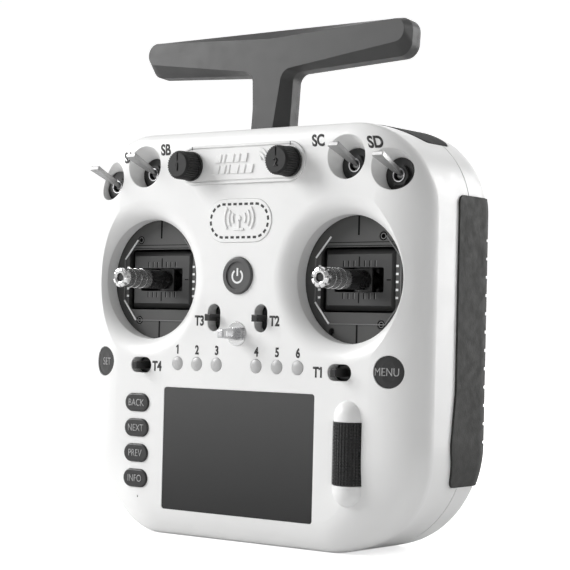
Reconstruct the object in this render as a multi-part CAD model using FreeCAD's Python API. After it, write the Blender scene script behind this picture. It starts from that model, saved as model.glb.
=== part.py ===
import FreeCAD, Part
import math
import os
from FreeCAD import Vector

# Handheld radio transmitter controller: a two-shell case with rubber grips, two stick gimbals,
# four toggle switches, two knobs, four trims, push buttons, a scroll roller and a folding antenna.
# Units are millimetres. +Z is up, the controls face -Y and the origin is the centre of the flat
# bottom face. "depth" is the distance behind the flat front face.

# ---- driving dimensions -------------------------------------------------------------------
HALF_WIDTH = 83.7
HEIGHT = 161.7
CASE_DEPTH = 54.0
TOP_CORNER = 33.0
BOTTOM_CORNER = 41.5
TOP_ROUND = 9.0         # front rounding seen from the front, along the top
BOTTOM_ROUND = 13.0     # the same along the bottom
SIDE_ROUND = 22.0       # the same at the sides
PALM_ROUND = 26.0       # the same where the palms rest
SIDE_ROUND_DEPTH = 12.5  # the rounding is an ellipse, flatter in depth by SIDE_ROUND / this
ROUNDED_DEPTH = 18.0    # behind this depth the sides are straight
BACK_ROUND = 11.0
TRIMMED_OFF = 0.02
HEAL = 0.001            # tolerance for mending faces where unequal roundings meet
WALL = 2.2
SEAM_DEPTH = 34.0
FRONT = -CASE_DEPTH / 2

RUN_GAP = 0.05          # radial clearance of every pin in its hole
GUIDE_GAP = 0.10        # clearance of a push button in its guide
SEAT_GAP = 0.05         # clearance of a part laid in a recess

GIMBAL_X = 49.5
GIMBAL_Z = 102.8
GIMBAL_HOLE_R = 24.4
GIMBAL_FLARE_R = 8.4
GIMBAL_FLARE_OUT = 32.0
GIMBAL_PLATE_DEPTH = 10.5
GIMBAL_PIVOT_DEPTH = 24.0
GIMBAL_FRAME_BACK = 34.5
GIMBAL_OPENING = (34.6, 24.8)
YOKE_FACE = (33.6, 23.4)
YOKE_SLOT = (22.5, 9.4)
YOKE_HALF_HUB = 9.3     # half length of the stick hub inside the yoke
STICK_REACH = 14.3      # stick tip ahead of the front face
STICK_SHAFT_R = 3.8
STICK_TIP_R = 3.95

SWITCH_B_X, SWITCH_B_Z = 50.3, 148.6
SWITCH_A_X, SWITCH_A_Z = 70.3, 144.2
DISH_MOUTH_R = 8.6
DISH_FLOOR_R = 6.6
DISH_DEPTH = 7.0
DISH_DROP = 3.0
LEVER_TILT = 22.0
LEVER_LENGTH = 18.0
BUSHING_R = 2.7
SWITCH_SOCKET_R = 2.1
LEVER_HUB_R = 1.6
LEVER_PIN_R = 0.7
LEVER_PIVOT_DEPTH = DISH_DEPTH + 1.0

KNOB_X, KNOB_Z = 24.5, 147.4
KNOB_BASE_R = 5.9
KNOB_FRONT_R = 5.4
KNOB_REACH = 9.7
PANEL_SIZE = (63.0, 15.4)
PANEL_Z = 147.7
BADGE_SIZE = (31.9, 16.9)
BADGE_Z = 125.4

POWER_Z = 104.0
POWER_R = 7.25
LANYARD_Z = 81.3
LANYARD_SEAT_R = 4.6
TRIM_SLOT = (6.3, 10.8)
TRIM_CENTRE_X, TRIM_CENTRE_Z = 11.7, 87.5
TRIM_SIDE_X, TRIM_SIDE_Z = 49.4, 67.8
TRIM_PIVOT_DEPTH = 10.0
ROUND_BUTTON_X, ROUND_BUTTON_Z, ROUND_BUTTON_R = 70.6, 68.7, 5.95
PRESET_XS = (-30.0, -20.0, -9.9, 9.9, 20.0, 30.0)
PRESET_Z, PRESET_R = 69.0, 2.65
FUNCTION_X = -50.9
FUNCTION_ZS = (52.5, 42.3, 32.1, 21.9)
FUNCTION_SIZE = (12.6, 7.1)
FUNCTION_NAMES = ("back_button", "next_button", "prev_button", "info_button")
MIC_X, MIC_Z = -49.6, 14.6

SCREEN_SIZE = (74.8, 48.6)
SCREEN_X, SCREEN_Z = 0.8, 35.0

ROLLER_X, ROLLER_Z = 53.6, 38.0
ROLLER_DEPTH = 2.0
ROLLER_R = 6.3
ROLLER_LENGTH = 23.2
HUMP_R = 6.1
HUMP_LENGTH = 39.8

GRIP_TOP_Z, GRIP_BOTTOM_Z = 135.3, 25.7
GRIP_FRONT_DEPTH = 26.0
GRIP_PROUD = 0.8
GRIP_SUNK = 1.2
GRIP_BACK_X = 58.0
GRIP_GROOVES = 12
GRIP_GROOVE_PITCH = 7.0
GRIP_GROOVE_DEPTH = 46.0

ANTENNA_HALF = 65.1
ANTENNA_TOP_Z = 203.0
ANTENNA_END_Z = 188.2
ANTENNA_NECK_Z = 185.3
ANTENNA_FACE_DEPTH = 12.2
ANTENNA_EDGE_DEPTH = 17.0
ANTENNA_SPLIT_DEPTH = 20.4
ANTENNA_BACK_DEPTH = 23.2
POST_HALF = 9.7
POST_LOW_Z = 146.0
ANTENNA_LEAN = 5.0      # backward lean of the raised antenna
ANTENNA_PIVOT_DEPTH = 18.0
ANTENNA_PIVOT_Z = 154.0
HINGE_PIN_R = 1.95
CHANNEL_HALF = 10.1
CHANNEL_FRONT_DEPTH = 11.6
CHANNEL_FLOOR_Z = 147.5

BOSS_PLACES = ((-37.0, 152.0), (37.0, 152.0), (-38.0, 74.0), (38.0, 74.0), (-44.0, 9.0), (44.0, 9.0))
BOSS_R = 3.2

BATTERY_DOOR = (72.0, 44.0)
BATTERY_Z = 32.0
CELL_R, CELL_LENGTH = 9.2, 65.0
MODULE_COVER = (50.0, 36.0)
MODULE_Z = 100.0
USB_X = 22.0

PIN = Vector(0, 1, 0)
ALONG_X = Vector(1, 0, 0)
ALONG_Z = Vector(0, 0, 1)


# ---- small shape helpers ------------------------------------------------------------------
def at_depth(depth):
    return FRONT + depth


def block(x0, x1, d0, d1, z0, z1):
    """Box between two X, two depth and two Z values."""
    return Part.makeBox(x1 - x0, d1 - d0, z1 - z0, Vector(x0, at_depth(d0), z0))


def rod_y(x, z, radius, d0, d1):
    return Part.makeCylinder(radius, d1 - d0, Vector(x, at_depth(d0), z), PIN)


def rod_x(depth, z, radius, x0, x1):
    return Part.makeCylinder(radius, x1 - x0, Vector(x0, at_depth(depth), z), ALONG_X)


def rod_z(x, depth, radius, z0, z1):
    return Part.makeCylinder(radius, z1 - z0, Vector(x, at_depth(depth), z0), ALONG_Z)


def rounded_wire(points, radii, depth):
    """Closed wire at one depth through (x, z) points, each corner rounded by its radius."""
    corners = []
    count = len(points)
    place = [Vector(x, at_depth(depth), z) for x, z in points]
    for index in range(count):
        here = place[index]
        back = (place[index - 1] - here).normalize()
        ahead = (place[(index + 1) % count] - here).normalize()
        half = back.getAngle(ahead) / 2
        radius = radii[index]
        if radius == 0:
            corners.append((here, here, here))
            continue
        run = radius / math.tan(half)
        middle = here + (back + ahead).normalize() * (radius / math.sin(half) - radius)
        corners.append((here + back * run, middle, here + ahead * run))
    edges = []
    for index, (start, middle, end) in enumerate(corners):
        if radii[index]:
            edges.append(Part.Arc(start, middle, end).toShape())
        following = corners[(index + 1) % count][0]
        if end.distanceToPoint(following) > 1e-6:
            edges.append(Part.makeLine(end, following))
    return Part.Wire(edges)


def prism(points, radii, d0, d1):
    return Part.Face(rounded_wire(points, radii, d0)).extrude(Vector(0, d1 - d0, 0))


def rounded_block(x, z, width, height, radius, d0, d1):
    left, right = x - width / 2, x + width / 2
    low, high = z - height / 2, z + height / 2
    points = [(left, low), (right, low), (right, high), (left, high)]
    return prism(points, [radius] * 4, d0, d1)


def stadium(x, z, width, height, d0, d1):
    return rounded_block(x, z, width, height, min(width, height) / 2 - 0.001, d0, d1)


def edges_where(shape, test):
    """Edges of a shape whose every vertex passes a test."""
    return [edge for edge in shape.Edges if all(test(vertex.Point) for vertex in edge.Vertexes)]


def mirrored(shape):
    return shape.mirror(Vector(0, 0, 0), ALONG_X)


def tilted(shape, depth, z, degrees):
    """Copy turned about an X axis at a depth and height."""
    copy = shape.copy()
    copy.rotate(Vector(0, at_depth(depth), z), ALONG_X, degrees)
    return copy


def fused(shapes):
    return shapes[0].multiFuse(list(shapes[1:])).removeSplitter()


# ---- case ---------------------------------------------------------------------------------
def case_outline(inset, y):
    """Front view of the case, with each lower corner split where its rounding peaks."""
    half = HALF_WIDTH - inset
    low, high = inset, HEIGHT - inset
    top_r, low_r = TOP_CORNER - inset, BOTTOM_CORNER - inset

    def arc(centre_x, centre_z, radius, first, last):
        spots = []
        for angle in (first, (first + last) / 2, last):
            turn = math.radians(angle)
            spots.append(Vector(centre_x + radius * math.cos(turn), y, centre_z + radius * math.sin(turn)))
        return Part.Arc(*spots).toShape()

    def line(x0, z0, x1, z1):
        return Part.makeLine(Vector(x0, y, z0), Vector(x1, y, z1))

    return Part.Wire([
        line(half, low + low_r, half, high - top_r),
        arc(half - top_r, high - top_r, top_r, 0, 90),
        line(half - top_r, high, top_r - half, high),
        arc(top_r - half, high - top_r, top_r, 90, 180),
        line(-half, high - top_r, -half, low + low_r),
        arc(low_r - half, low + low_r, low_r, 180, 225),
        arc(low_r - half, low + low_r, low_r, 225, 270),
        line(low_r - half, low, half - low_r, low),
        arc(half - low_r, low + low_r, low_r, 270, 315),
        arc(half - low_r, low + low_r, low_r, 315, 360),
    ])


def round_edges(slab, radius_at):
    """Solid with the rounding radius_at(point) gives at each end of an edge, or none."""
    roundings = []
    for number, edge in enumerate(slab.Edges, 1):
        radii = [radius_at(vertex.Point) for vertex in edge.Vertexes]
        if all(radii):
            roundings.append((number, radii[0], radii[-1]))
    document = FreeCAD.newDocument("form")
    base = document.addObject("Part::Feature", "slab")
    base.Shape = slab
    fillet = document.addObject("Part::Fillet", "rounded")
    fillet.Base = base
    fillet.Edges = roundings
    document.recompute()
    form = fillet.Shape.copy()
    FreeCAD.closeDocument(document.Name)
    return form


def case_cap(inset):
    """Front part of the case form. It is rounded while stretched in depth, then squashed back.

    It starts a hair too far forward and is trimmed, which leaves a true plane for its front.
    """
    stretch = (SIDE_ROUND - inset) / (SIDE_ROUND_DEPTH - inset)
    front = inset - TRIMMED_OFF
    slab = Part.Face(case_outline(inset, 0)).extrude(Vector(0, (ROUNDED_DEPTH + 1 - front) * stretch, 0))

    def radius_at(point):
        if abs(point.y) > 1e-6:
            return 0
        across = abs(point.x) - (HALF_WIDTH - BOTTOM_CORNER)
        down = BOTTOM_CORNER - point.z
        if across > 1 and abs(across - down) < 0.5:
            return PALM_ROUND - inset
        if abs(point.x) > HALF_WIDTH - inset - 1:
            return SIDE_ROUND - inset
        return (TOP_ROUND if point.z > HEIGHT / 2 else BOTTOM_ROUND) - inset

    squash = FreeCAD.Matrix()
    squash.scale(Vector(1, 1 / stretch, 1))
    cap = round_edges(slab, radius_at).transformGeometry(squash)
    cap.translate(Vector(0, at_depth(front), 0))
    cap = cap.common(block(-100, 100, inset, ROUNDED_DEPTH, -10, HEIGHT + 10))
    cap.fix(HEAL, HEAL, 10 * HEAL)
    return cap


def case_rear(inset):
    """Straight-sided part of the case form, rounded at the back."""
    back = CASE_DEPTH - inset
    slab = Part.Face(case_outline(inset, at_depth(ROUNDED_DEPTH))).extrude(Vector(0, back - ROUNDED_DEPTH, 0))
    return round_edges(slab, lambda point: BACK_ROUND - inset if point.y > at_depth(back - 0.01) else 0)


def case_form(inset):
    """The case as a solid, moved inward by an inset."""
    return case_cap(inset).fuse(case_rear(inset))


def side_slope(x):
    """Depth, and tilt in degrees, of the case's sloping side at a distance from the middle."""
    share = (x - (HALF_WIDTH - SIDE_ROUND)) / SIDE_ROUND
    level = math.sqrt(1 - share ** 2)
    depth = SIDE_ROUND_DEPTH * (1 - level)
    tilt = math.degrees(math.atan(SIDE_ROUND_DEPTH / SIDE_ROUND * share / level))
    return depth, tilt


def on_slope(shape, side):
    """A round button's part, made square to the front face, laid on the sloping side instead."""
    depth, tilt = side_slope(ROUND_BUTTON_X)
    placed = shape.copy()
    placed.rotate(Vector(side * ROUND_BUTTON_X, at_depth(0), 0), ALONG_Z, side * tilt)
    placed.translate(Vector(0, depth, 0))
    return placed


def gimbal_collars():
    """Ring walls that drop from the front face to the gimbal plates."""
    rings = []
    for side in (-1, 1):
        x = side * GIMBAL_X
        outer = rod_y(x, GIMBAL_Z, GIMBAL_HOLE_R + WALL, WALL / 2, GIMBAL_PLATE_DEPTH - 0.2)
        skirt = Part.makeCone(GIMBAL_FLARE_OUT + 1, GIMBAL_HOLE_R + WALL, 6.5,
                              Vector(x, at_depth(WALL / 2), GIMBAL_Z), PIN)
        rings.append(outer.fuse(skirt))
    return rings


def gimbal_voids():
    """Openings with a soft flared mouth."""
    centre_d = GIMBAL_FLARE_R
    reach = GIMBAL_FLARE_OUT - GIMBAL_HOLE_R
    lip_d = centre_d - math.sqrt(GIMBAL_FLARE_R ** 2 - reach ** 2)
    turn = math.asin(reach / GIMBAL_FLARE_R) / 2
    voids = []
    for side in (-1, 1):
        def spot(radius, depth):
            return Vector(side * GIMBAL_X + radius, at_depth(depth), GIMBAL_Z)

        mouth = spot(GIMBAL_FLARE_OUT, 0)
        middle = spot(GIMBAL_FLARE_OUT - GIMBAL_FLARE_R * math.sin(turn),
                      centre_d - GIMBAL_FLARE_R * math.cos(turn))
        lip = spot(GIMBAL_HOLE_R, lip_d)
        path = [
            Part.makeLine(spot(0, -1), spot(GIMBAL_FLARE_OUT, -1)),
            Part.makeLine(spot(GIMBAL_FLARE_OUT, -1), mouth),
            Part.Arc(mouth, middle, lip).toShape(),
            Part.makeLine(lip, spot(GIMBAL_HOLE_R, 14)),
            Part.makeLine(spot(GIMBAL_HOLE_R, 14), spot(0, 14)),
            Part.makeLine(spot(0, 14), spot(0, -1)),
        ]
        profile = Part.Face(Part.Wire(path))
        voids.append(profile.revolve(Vector(side * GIMBAL_X, 0, GIMBAL_Z), PIN, 360))
    return voids


def switch_places():
    """(name, x, z) of the four toggle switches' recess mouths."""
    return [("a", -SWITCH_A_X, SWITCH_A_Z), ("b", -SWITCH_B_X, SWITCH_B_Z),
            ("c", SWITCH_B_X, SWITCH_B_Z), ("d", SWITCH_A_X, SWITCH_A_Z)]


def dish(x, z, extra, d0, d1):
    """Oblique cone from the recess mouth to its lower floor, grown by an extra radius."""
    def ring(depth):
        share = depth / DISH_DEPTH
        radius = DISH_MOUTH_R + share * (DISH_FLOOR_R - DISH_MOUTH_R) + extra
        centre = Vector(x, at_depth(depth), z - share * DISH_DROP)
        return Part.Wire(Part.makeCircle(radius, centre, PIN))

    return Part.makeLoft([ring(d0), ring(d1)], True, True)


def roller_hump(radius):
    """Capsule standing out of the front face around the roller."""
    straight = HUMP_LENGTH / 2 - HUMP_R
    low, high = ROLLER_Z - straight, ROLLER_Z + straight
    body = rod_z(ROLLER_X, ROLLER_DEPTH, radius, low, high)
    ends = []
    for z in (low, high):
        ends.append(Part.makeSphere(radius, Vector(ROLLER_X, at_depth(ROLLER_DEPTH), z)))
    return body.multiFuse(ends)


def trim_places():
    """(number, x, z, upright) of the four trim slots."""
    return [(1, TRIM_SIDE_X, TRIM_SIDE_Z, False), (2, TRIM_CENTRE_X, TRIM_CENTRE_Z, True),
            (3, -TRIM_CENTRE_X, TRIM_CENTRE_Z, True), (4, -TRIM_SIDE_X, TRIM_SIDE_Z, False)]


def trim_prism(x, z, upright, extra, d0, d1):
    short, long = TRIM_SLOT[0] + 2 * extra, TRIM_SLOT[1] + 2 * extra
    if upright:
        return stadium(x, z, short, long, d0, d1)
    return stadium(x, z, long, short, d0, d1)


def channel_lining():
    half = CHANNEL_HALF + WALL
    return block(-half, half, CHANNEL_FRONT_DEPTH - WALL, CASE_DEPTH, CHANNEL_FLOOR_Z - WALL, HEIGHT)


def channel_void():
    return block(-CHANNEL_HALF, CHANNEL_HALF, CHANNEL_FRONT_DEPTH, CASE_DEPTH + 5,
                 CHANNEL_FLOOR_Z, HEIGHT + 5)


def shoulder_prism(side, extra):
    """Plan outline of a shoulder button as an upright prism."""
    plan = [(44.0, 15.0), (60.5, 14.0), (70.6, 23.0), (70.6, 40.0), (44.0, 40.0)]
    rounding = (3.0, 8.0, 4.0, 3.0, 3.0)
    flat = rounded_wire(plan, rounding, 0)
    turned = flat.copy()
    turned.rotate(Vector(0, at_depth(0), 0), ALONG_X, -90)
    turned.translate(Vector(0, 0, HEIGHT - 20))
    if extra:
        turned = turned.makeOffset2D(extra)
    solid = Part.Face(turned).extrude(Vector(0, 0, 30))
    return solid if side > 0 else mirrored(solid)


def grip_region(side, shrink):
    """Where a side grip lies: an outline seen from the side, cut short on the back."""
    s = shrink
    front = GRIP_FRONT_DEPTH + s
    top, low = GRIP_TOP_Z - s, GRIP_BOTTOM_Z + s
    outline = [(front, top), (CASE_DEPTH + 8, top), (CASE_DEPTH + 8, low), (front + 1.5, low),
               (front - 2.6, low + 15.0), (front, low + 36.0)]
    radii = (4.0, 0, 0, 4.0, 12.0, 25.0)
    wire = rounded_wire([(depth + FRONT, z) for depth, z in outline], radii, 0)
    wire.rotate(Vector(0, at_depth(0), 0), ALONG_Z, 90)
    wire.translate(Vector(GRIP_BACK_X - 10, -at_depth(0), 0))
    seen_from_side = Part.Face(wire).extrude(Vector(50, 0, 0))
    seen_from_back = rounded_block(GRIP_BACK_X + s + 25, (top + low) / 2, 50, top - low, 7.0, 10, 70)
    region = seen_from_side.common(seen_from_back)
    return region if side > 0 else mirrored(region)


def grip(side, forms):
    raised = forms["proud"].cut(forms["sunk"])
    pad = raised.common(grip_region(side, SEAT_GAP))
    grooves = []
    for step in range(GRIP_GROOVES):
        z = GRIP_BOTTOM_Z + 16 + GRIP_GROOVE_PITCH * step
        groove = block(60, 95, GRIP_GROOVE_DEPTH, 70, z, z + 1.2)
        grooves.append(groove if side > 0 else mirrored(groove))
    return pad.cut(Part.makeCompound(grooves).common(forms["proud"].cut(forms["skin"])))


def seam_groove(forms):
    band = block(-100, 100, SEAM_DEPTH - 0.22, SEAM_DEPTH + 0.22, -5, HEIGHT + 5)
    return forms["outer"].cut(forms["skin"]).common(band)


def bosses(d0, d1, forms):
    posts = [rod_y(x, z, BOSS_R, d0, d1) for x, z in BOSS_PLACES]
    return [post.common(forms["outer"]) for post in posts]


def front_additions(forms):
    solids = gimbal_collars()
    for _, x, z in switch_places():
        solids.append(dish(x, z, 1.6, 0, DISH_DEPTH))
    for _, x, z, upright in trim_places():
        solids.append(trim_prism(x, z, upright, 1.3, WALL / 2, 5.0))
    solids.append(channel_lining().common(block(-50, 50, 0, SEAM_DEPTH, 100, 170)))
    solids += bosses(1.0, SEAM_DEPTH, forms)
    inside = [solid.common(forms["outer"]) for solid in solids]
    inside.append(roller_hump(HUMP_R).common(block(40, 70, -10, WALL, 0, 80)))
    return inside


def button_holes():
    """Guides of every push button in the front face."""
    holes = [rod_y(0, POWER_Z, POWER_R + GUIDE_GAP, -2, 8)]
    for side in (-1, 1):
        guide = rod_y(side * ROUND_BUTTON_X, ROUND_BUTTON_Z, ROUND_BUTTON_R + GUIDE_GAP, -2, 8)
        holes.append(on_slope(guide, side))
    for x in PRESET_XS:
        holes.append(rod_y(x, PRESET_Z, PRESET_R + GUIDE_GAP, -2, 8))
    for z in FUNCTION_ZS:
        width, height = FUNCTION_SIZE
        holes.append(stadium(FUNCTION_X, z, width + 2 * GUIDE_GAP, height + 2 * GUIDE_GAP, -2, 8))
    return holes


def front_openings():
    cuts = gimbal_voids() + button_holes()
    for _, x, z in switch_places():
        cuts.append(dish(x, z, 0, -2, DISH_DEPTH + 0.5))
    for side in (-1, 1):
        cuts.append(rod_y(side * KNOB_X, KNOB_Z, 3.6, -2, 6))
    for _, x, z, upright in trim_places():
        cuts.append(trim_prism(x, z, upright, 0, -2, 8))
    seat = SEAT_GAP
    cuts.append(stadium(0, PANEL_Z, PANEL_SIZE[0] + 2 * seat, PANEL_SIZE[1] + 2 * seat, -1, 0.6))
    cuts.append(stadium(0, BADGE_Z, BADGE_SIZE[0] + 2 * seat, BADGE_SIZE[1] + 2 * seat, -1, 0.6))
    cuts.append(rod_y(0, LANYARD_Z, LANYARD_SEAT_R + seat, -1, 1.2))
    cuts.append(rod_y(0, LANYARD_Z, 1.6, -1, 6))
    cuts.append(rod_y(MIC_X, MIC_Z, 0.4, -1, 6))
    cuts.append(rounded_block(SCREEN_X, SCREEN_Z, SCREEN_SIZE[0] + 2 * seat, SCREEN_SIZE[1] + 2 * seat,
                              1.2, -1, 6))
    window = ROLLER_LENGTH / 2 + 0.15
    half = ROLLER_R + 0.15
    cuts.append(block(ROLLER_X - half, ROLLER_X + half, -8, 6, ROLLER_Z - window, ROLLER_Z + window))
    cuts.append(roller_hump(HUMP_R - 1.7))
    return cuts


def shared_cuts(forms):
    """Cuts that run across the seam between the shells."""
    cuts = [channel_void(), rod_x(ANTENNA_PIVOT_DEPTH, ANTENNA_PIVOT_Z, HINGE_PIN_R + 0.02, -14, 14)]
    for side in (-1, 1):
        cuts.append(shoulder_prism(side, 0.25))
        recess = forms["outer"].cut(forms["recess"]).common(grip_region(side, 0))
        cuts.append(recess)
    cuts.append(seam_groove(forms))
    return cuts


def front_shell(forms):
    skin = forms["outer"].cut(forms["inner"]).common(block(-100, 100, -1, SEAM_DEPTH, -5, HEIGHT + 5))
    body = skin.multiFuse(front_additions(forms))
    for x, z in BOSS_PLACES:
        body = body.cut(rod_y(x, z, 1.25, 6.5, SEAM_DEPTH + 1))
    return body.cut(front_openings() + shared_cuts(forms))


def rear_shell(forms):
    skin = forms["outer"].cut(forms["inner"]).common(block(-100, 100, SEAM_DEPTH, 60, -5, HEIGHT + 5))
    lining = channel_lining().common(block(-50, 50, SEAM_DEPTH, 60, 100, 170)).common(forms["outer"])
    body = skin.multiFuse([lining] + bosses(SEAM_DEPTH, CASE_DEPTH, forms))
    cuts = shared_cuts(forms)
    for x, z in BOSS_PLACES:
        cuts.append(rod_y(x, z, 1.7, SEAM_DEPTH - 1, 60))
        cuts.append(rod_y(x, z, 2.9, CASE_DEPTH - 5, 60))
    cuts.append(rounded_block(0, BATTERY_Z, BATTERY_DOOR[0], BATTERY_DOOR[1], 5.0, 45, 60))
    cuts.append(rounded_block(0, MODULE_Z, MODULE_COVER[0], MODULE_COVER[1], 4.0, CASE_DEPTH - 1.3, 60))
    cuts.append(rounded_block(0, MODULE_Z, MODULE_COVER[0] - 5, MODULE_COVER[1] - 5, 3.0, 45, 60))
    cuts.append(usb_prism(0.15, 3))
    for row in range(3):
        for column in range(5):
            cuts.append(rod_y(-10 + 5 * column, 66 + 4 * row, 0.9, 45, 60))
    return body.cut(cuts)


def usb_prism(extra, length):
    """Upright stadium of the charging socket through the bottom wall behind the seam."""
    depth = SEAM_DEPTH + 6
    flat = stadium(USB_X, 0, 9.0 + 2 * extra, 3.3 + 2 * extra, 0, length + 2)
    flat.rotate(Vector(USB_X, at_depth(0), 0), ALONG_X, 90)
    flat.translate(Vector(0, depth, -2))
    return flat


def usb_port():
    shell = usb_prism(0, 9)
    shell.translate(Vector(0, 0, 2.3))
    hollow = usb_prism(-0.4, 7)
    hollow.translate(Vector(0, 0, 1.5))
    return shell.cut(hollow)


def shoulder_button(side, forms):
    """Spring button that continues the case's top corner."""
    cap = forms["button"].cut(forms["inner"])
    return cap.common(shoulder_prism(side, 0))


# ---- front fittings -----------------------------------------------------------------------
def knob_panel():
    plate = stadium(0, PANEL_Z, PANEL_SIZE[0], PANEL_SIZE[1], -0.8, 0.55)
    groove = stadium(0, PANEL_Z, PANEL_SIZE[0] - 2.0, PANEL_SIZE[1] - 2.0, -1, -0.5)
    island = stadium(0, PANEL_Z, PANEL_SIZE[0] - 2.9, PANEL_SIZE[1] - 2.9, -1, -0.4)
    cuts = [groove.cut(island)]
    for side in (-1, 1):
        cuts.append(rod_y(side * KNOB_X, KNOB_Z, 3.6, -2, 2))
    return plate.cut(cuts)


def badge_plate():
    plate = stadium(0, BADGE_Z, BADGE_SIZE[0], BADGE_SIZE[1], -0.3, 0.55)
    rim = edges_where(plate, lambda point: abs(point.y - at_depth(-0.3)) < 1e-6)
    return plate.makeFillet(0.25, rim)


def screen_lens():
    return rounded_block(SCREEN_X, SCREEN_Z, SCREEN_SIZE[0], SCREEN_SIZE[1], 1.15, 0.1, 1.9)


def lcd_module(forms):
    panel = rounded_block(SCREEN_X, SCREEN_Z, SCREEN_SIZE[0] + 3.4, SCREEN_SIZE[1] + 3.4, 1.5, 2.3, 6.4)
    return panel.common(forms["clear"])


def lanyard_seat():
    return rod_y(0, LANYARD_Z, LANYARD_SEAT_R, -0.25, 1.15).cut(rod_y(0, LANYARD_Z, 1.6, -1, 2))


def lanyard_hook():
    """Bent metal tongue with an eye through X, held by a nut behind the wall."""
    side_view = [(-10.4, 1.6), (-10.4, -1.6), (-1.4, -2.35), (-1.4, 2.35)]
    plate = Part.makePolygon([Vector(-1.5, at_depth(depth), LANYARD_Z + z)
                              for depth, z in side_view + side_view[:1]])
    tongue = Part.Face(plate).extrude(Vector(3.0, 0, 0))
    tip = edges_where(tongue, lambda point: point.y < at_depth(-10))
    tongue = tongue.makeFillet(0.7, tip)
    eye = block(-3, 3, -8.6, -4.0, LANYARD_Z - 0.95, LANYARD_Z + 0.95)
    base = rounded_block(0, LANYARD_Z, 6.6, 5.0, 1.0, -1.5, -0.3)
    shank = rod_y(0, LANYARD_Z, 1.5, -0.4, 5.0)
    nut = rod_y(0, LANYARD_Z, 3.0, 2.4, 4.6)
    return fused([tongue.cut(eye), base, shank, nut])


def power_button():
    cap = rod_y(0, POWER_Z, POWER_R, -1.0, 3.3)
    rim = edges_where(cap, lambda point: abs(point.y - at_depth(-1.0)) < 1e-6)
    cap = cap.makeFillet(0.6, rim)
    dip = rod_y(0, POWER_Z, POWER_R - 1.9, -2, -0.5)
    flange = rod_y(0, POWER_Z, POWER_R + 1.2, 2.3, 3.3)
    stem = rod_y(0, POWER_Z, 2.0, 3.0, 6.6)
    return fused([cap.cut(dip), flange, stem])


def round_button(side, forms):
    """Dished button that follows the sloping side of the case."""
    x, z = side * ROUND_BUTTON_X, ROUND_BUTTON_Z
    cap = on_slope(rod_y(x, z, ROUND_BUTTON_R, -1.0, 4.2), side).common(forms["skin"])
    ball_r = 30.0
    dip = Part.makeSphere(ball_r, Vector(x, at_depth(0.65) - ball_r, z))
    flange = rod_y(x, z, ROUND_BUTTON_R + 0.6, 3.2, 4.2)
    return fused([cap.cut(on_slope(dip, side)), on_slope(flange, side)])


def preset_button(x):
    cap = rod_y(x, PRESET_Z, PRESET_R, -2, 3.1)
    ball_r = 7.5
    dome = Part.makeSphere(ball_r, Vector(x, at_depth(-0.55) + ball_r, PRESET_Z))
    flange = rod_y(x, PRESET_Z, PRESET_R + 0.7, 2.3, 3.1)
    stem = rod_y(x, PRESET_Z, 1.2, 3.0, 6.6)
    return fused([cap.common(dome.fuse(rod_y(x, PRESET_Z, 4, 1, 4))), flange, stem])


def function_button(z, forms):
    width, height = FUNCTION_SIZE
    cap = stadium(FUNCTION_X, z, width, height, -0.7, 3.6)
    rim = edges_where(cap, lambda point: abs(point.y - at_depth(-0.7)) < 1e-6)
    cap = cap.makeFillet(0.55, rim)
    flange = stadium(FUNCTION_X, z, width + 1.4, height + 1.4, 2.4, 3.6).common(forms["clear"])
    return fused([cap, flange])


# ---- trims --------------------------------------------------------------------------------
def turn_trim(shape, x, z, upright):
    """Place an upright trim part made at the origin of X and Z."""
    placed = shape.copy()
    if not upright:
        placed.rotate(Vector(0, 0, 0), PIN, 90)
    placed.translate(Vector(x, 0, z))
    return placed


def trim_lever(x, z, upright):
    paddle = block(-1.5, 1.5, -4.2, 5.0, -1.35, 1.35)
    front = edges_where(paddle, lambda point: point.y < at_depth(-4))
    paddle = paddle.makeFillet(0.4, front)
    for groove_z in (-0.55, 0.55):
        for groove_x in (-1.6, 1.3):
            paddle = paddle.cut(block(groove_x, groove_x + 0.3, -5, 0, groove_z - 0.2, groove_z + 0.2))
    boat = stadium(0, 0, 5.0, 8.4, 4.4, 5.6)
    stem = block(-1.2, 1.2, 5.0, TRIM_PIVOT_DEPTH, -1.2, 1.2)
    hub = rod_x(TRIM_PIVOT_DEPTH, 0, 1.7, -2.1, 2.1)
    pin = rod_x(TRIM_PIVOT_DEPTH, 0, 0.8, -4.2, 4.2)
    return turn_trim(fused([paddle, boat, stem, hub, pin]), x, z, upright)


def trim_bracket(x, z, upright):
    body = block(-4.4, 4.4, 7.0, 14.0, -5.5, 5.5)
    hollow = block(-2.3, 2.3, 6.0, 12.8, -4.6, 4.6)
    hole = rod_x(TRIM_PIVOT_DEPTH, 0, 0.8 + RUN_GAP, -5, 5)
    return turn_trim(body.cut([hollow, hole]), x, z, upright)


# ---- toggle switches ----------------------------------------------------------------------
def switch_floor_z(z):
    return z - DISH_DROP


def switch_plate(x, z, forms):
    plate = rod_y(x, switch_floor_z(z), 6.9, DISH_DEPTH + 0.05, DISH_DEPTH + 1.3)
    hole = rod_y(x, switch_floor_z(z), BUSHING_R + 0.05, 0, 20)
    return plate.cut(hole).common(forms["clear"])


def switch_body(x, z, forms):
    floor_z = switch_floor_z(z)
    case = block(x - 3.8, x + 3.8, DISH_DEPTH + 1.4, 18.0, floor_z - 5.5, floor_z + 5.5)
    bushing = rod_y(x, floor_z, BUSHING_R, 5.4, DISH_DEPTH + 2)
    socket = rod_y(x, floor_z, SWITCH_SOCKET_R, 0, 10.6)
    bearing = rod_x(LEVER_PIVOT_DEPTH, floor_z, LEVER_PIN_R + RUN_GAP, x - 3.2, x + 3.2)
    pins = [block(x - 0.6, x + 0.6, 17.5, 21, floor_z + offset - 0.4, floor_z + offset + 0.4)
            for offset in (-4, 0, 4)]
    return fused([case, bushing] + pins).cut([socket, bearing]).common(forms["clear"])


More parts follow.
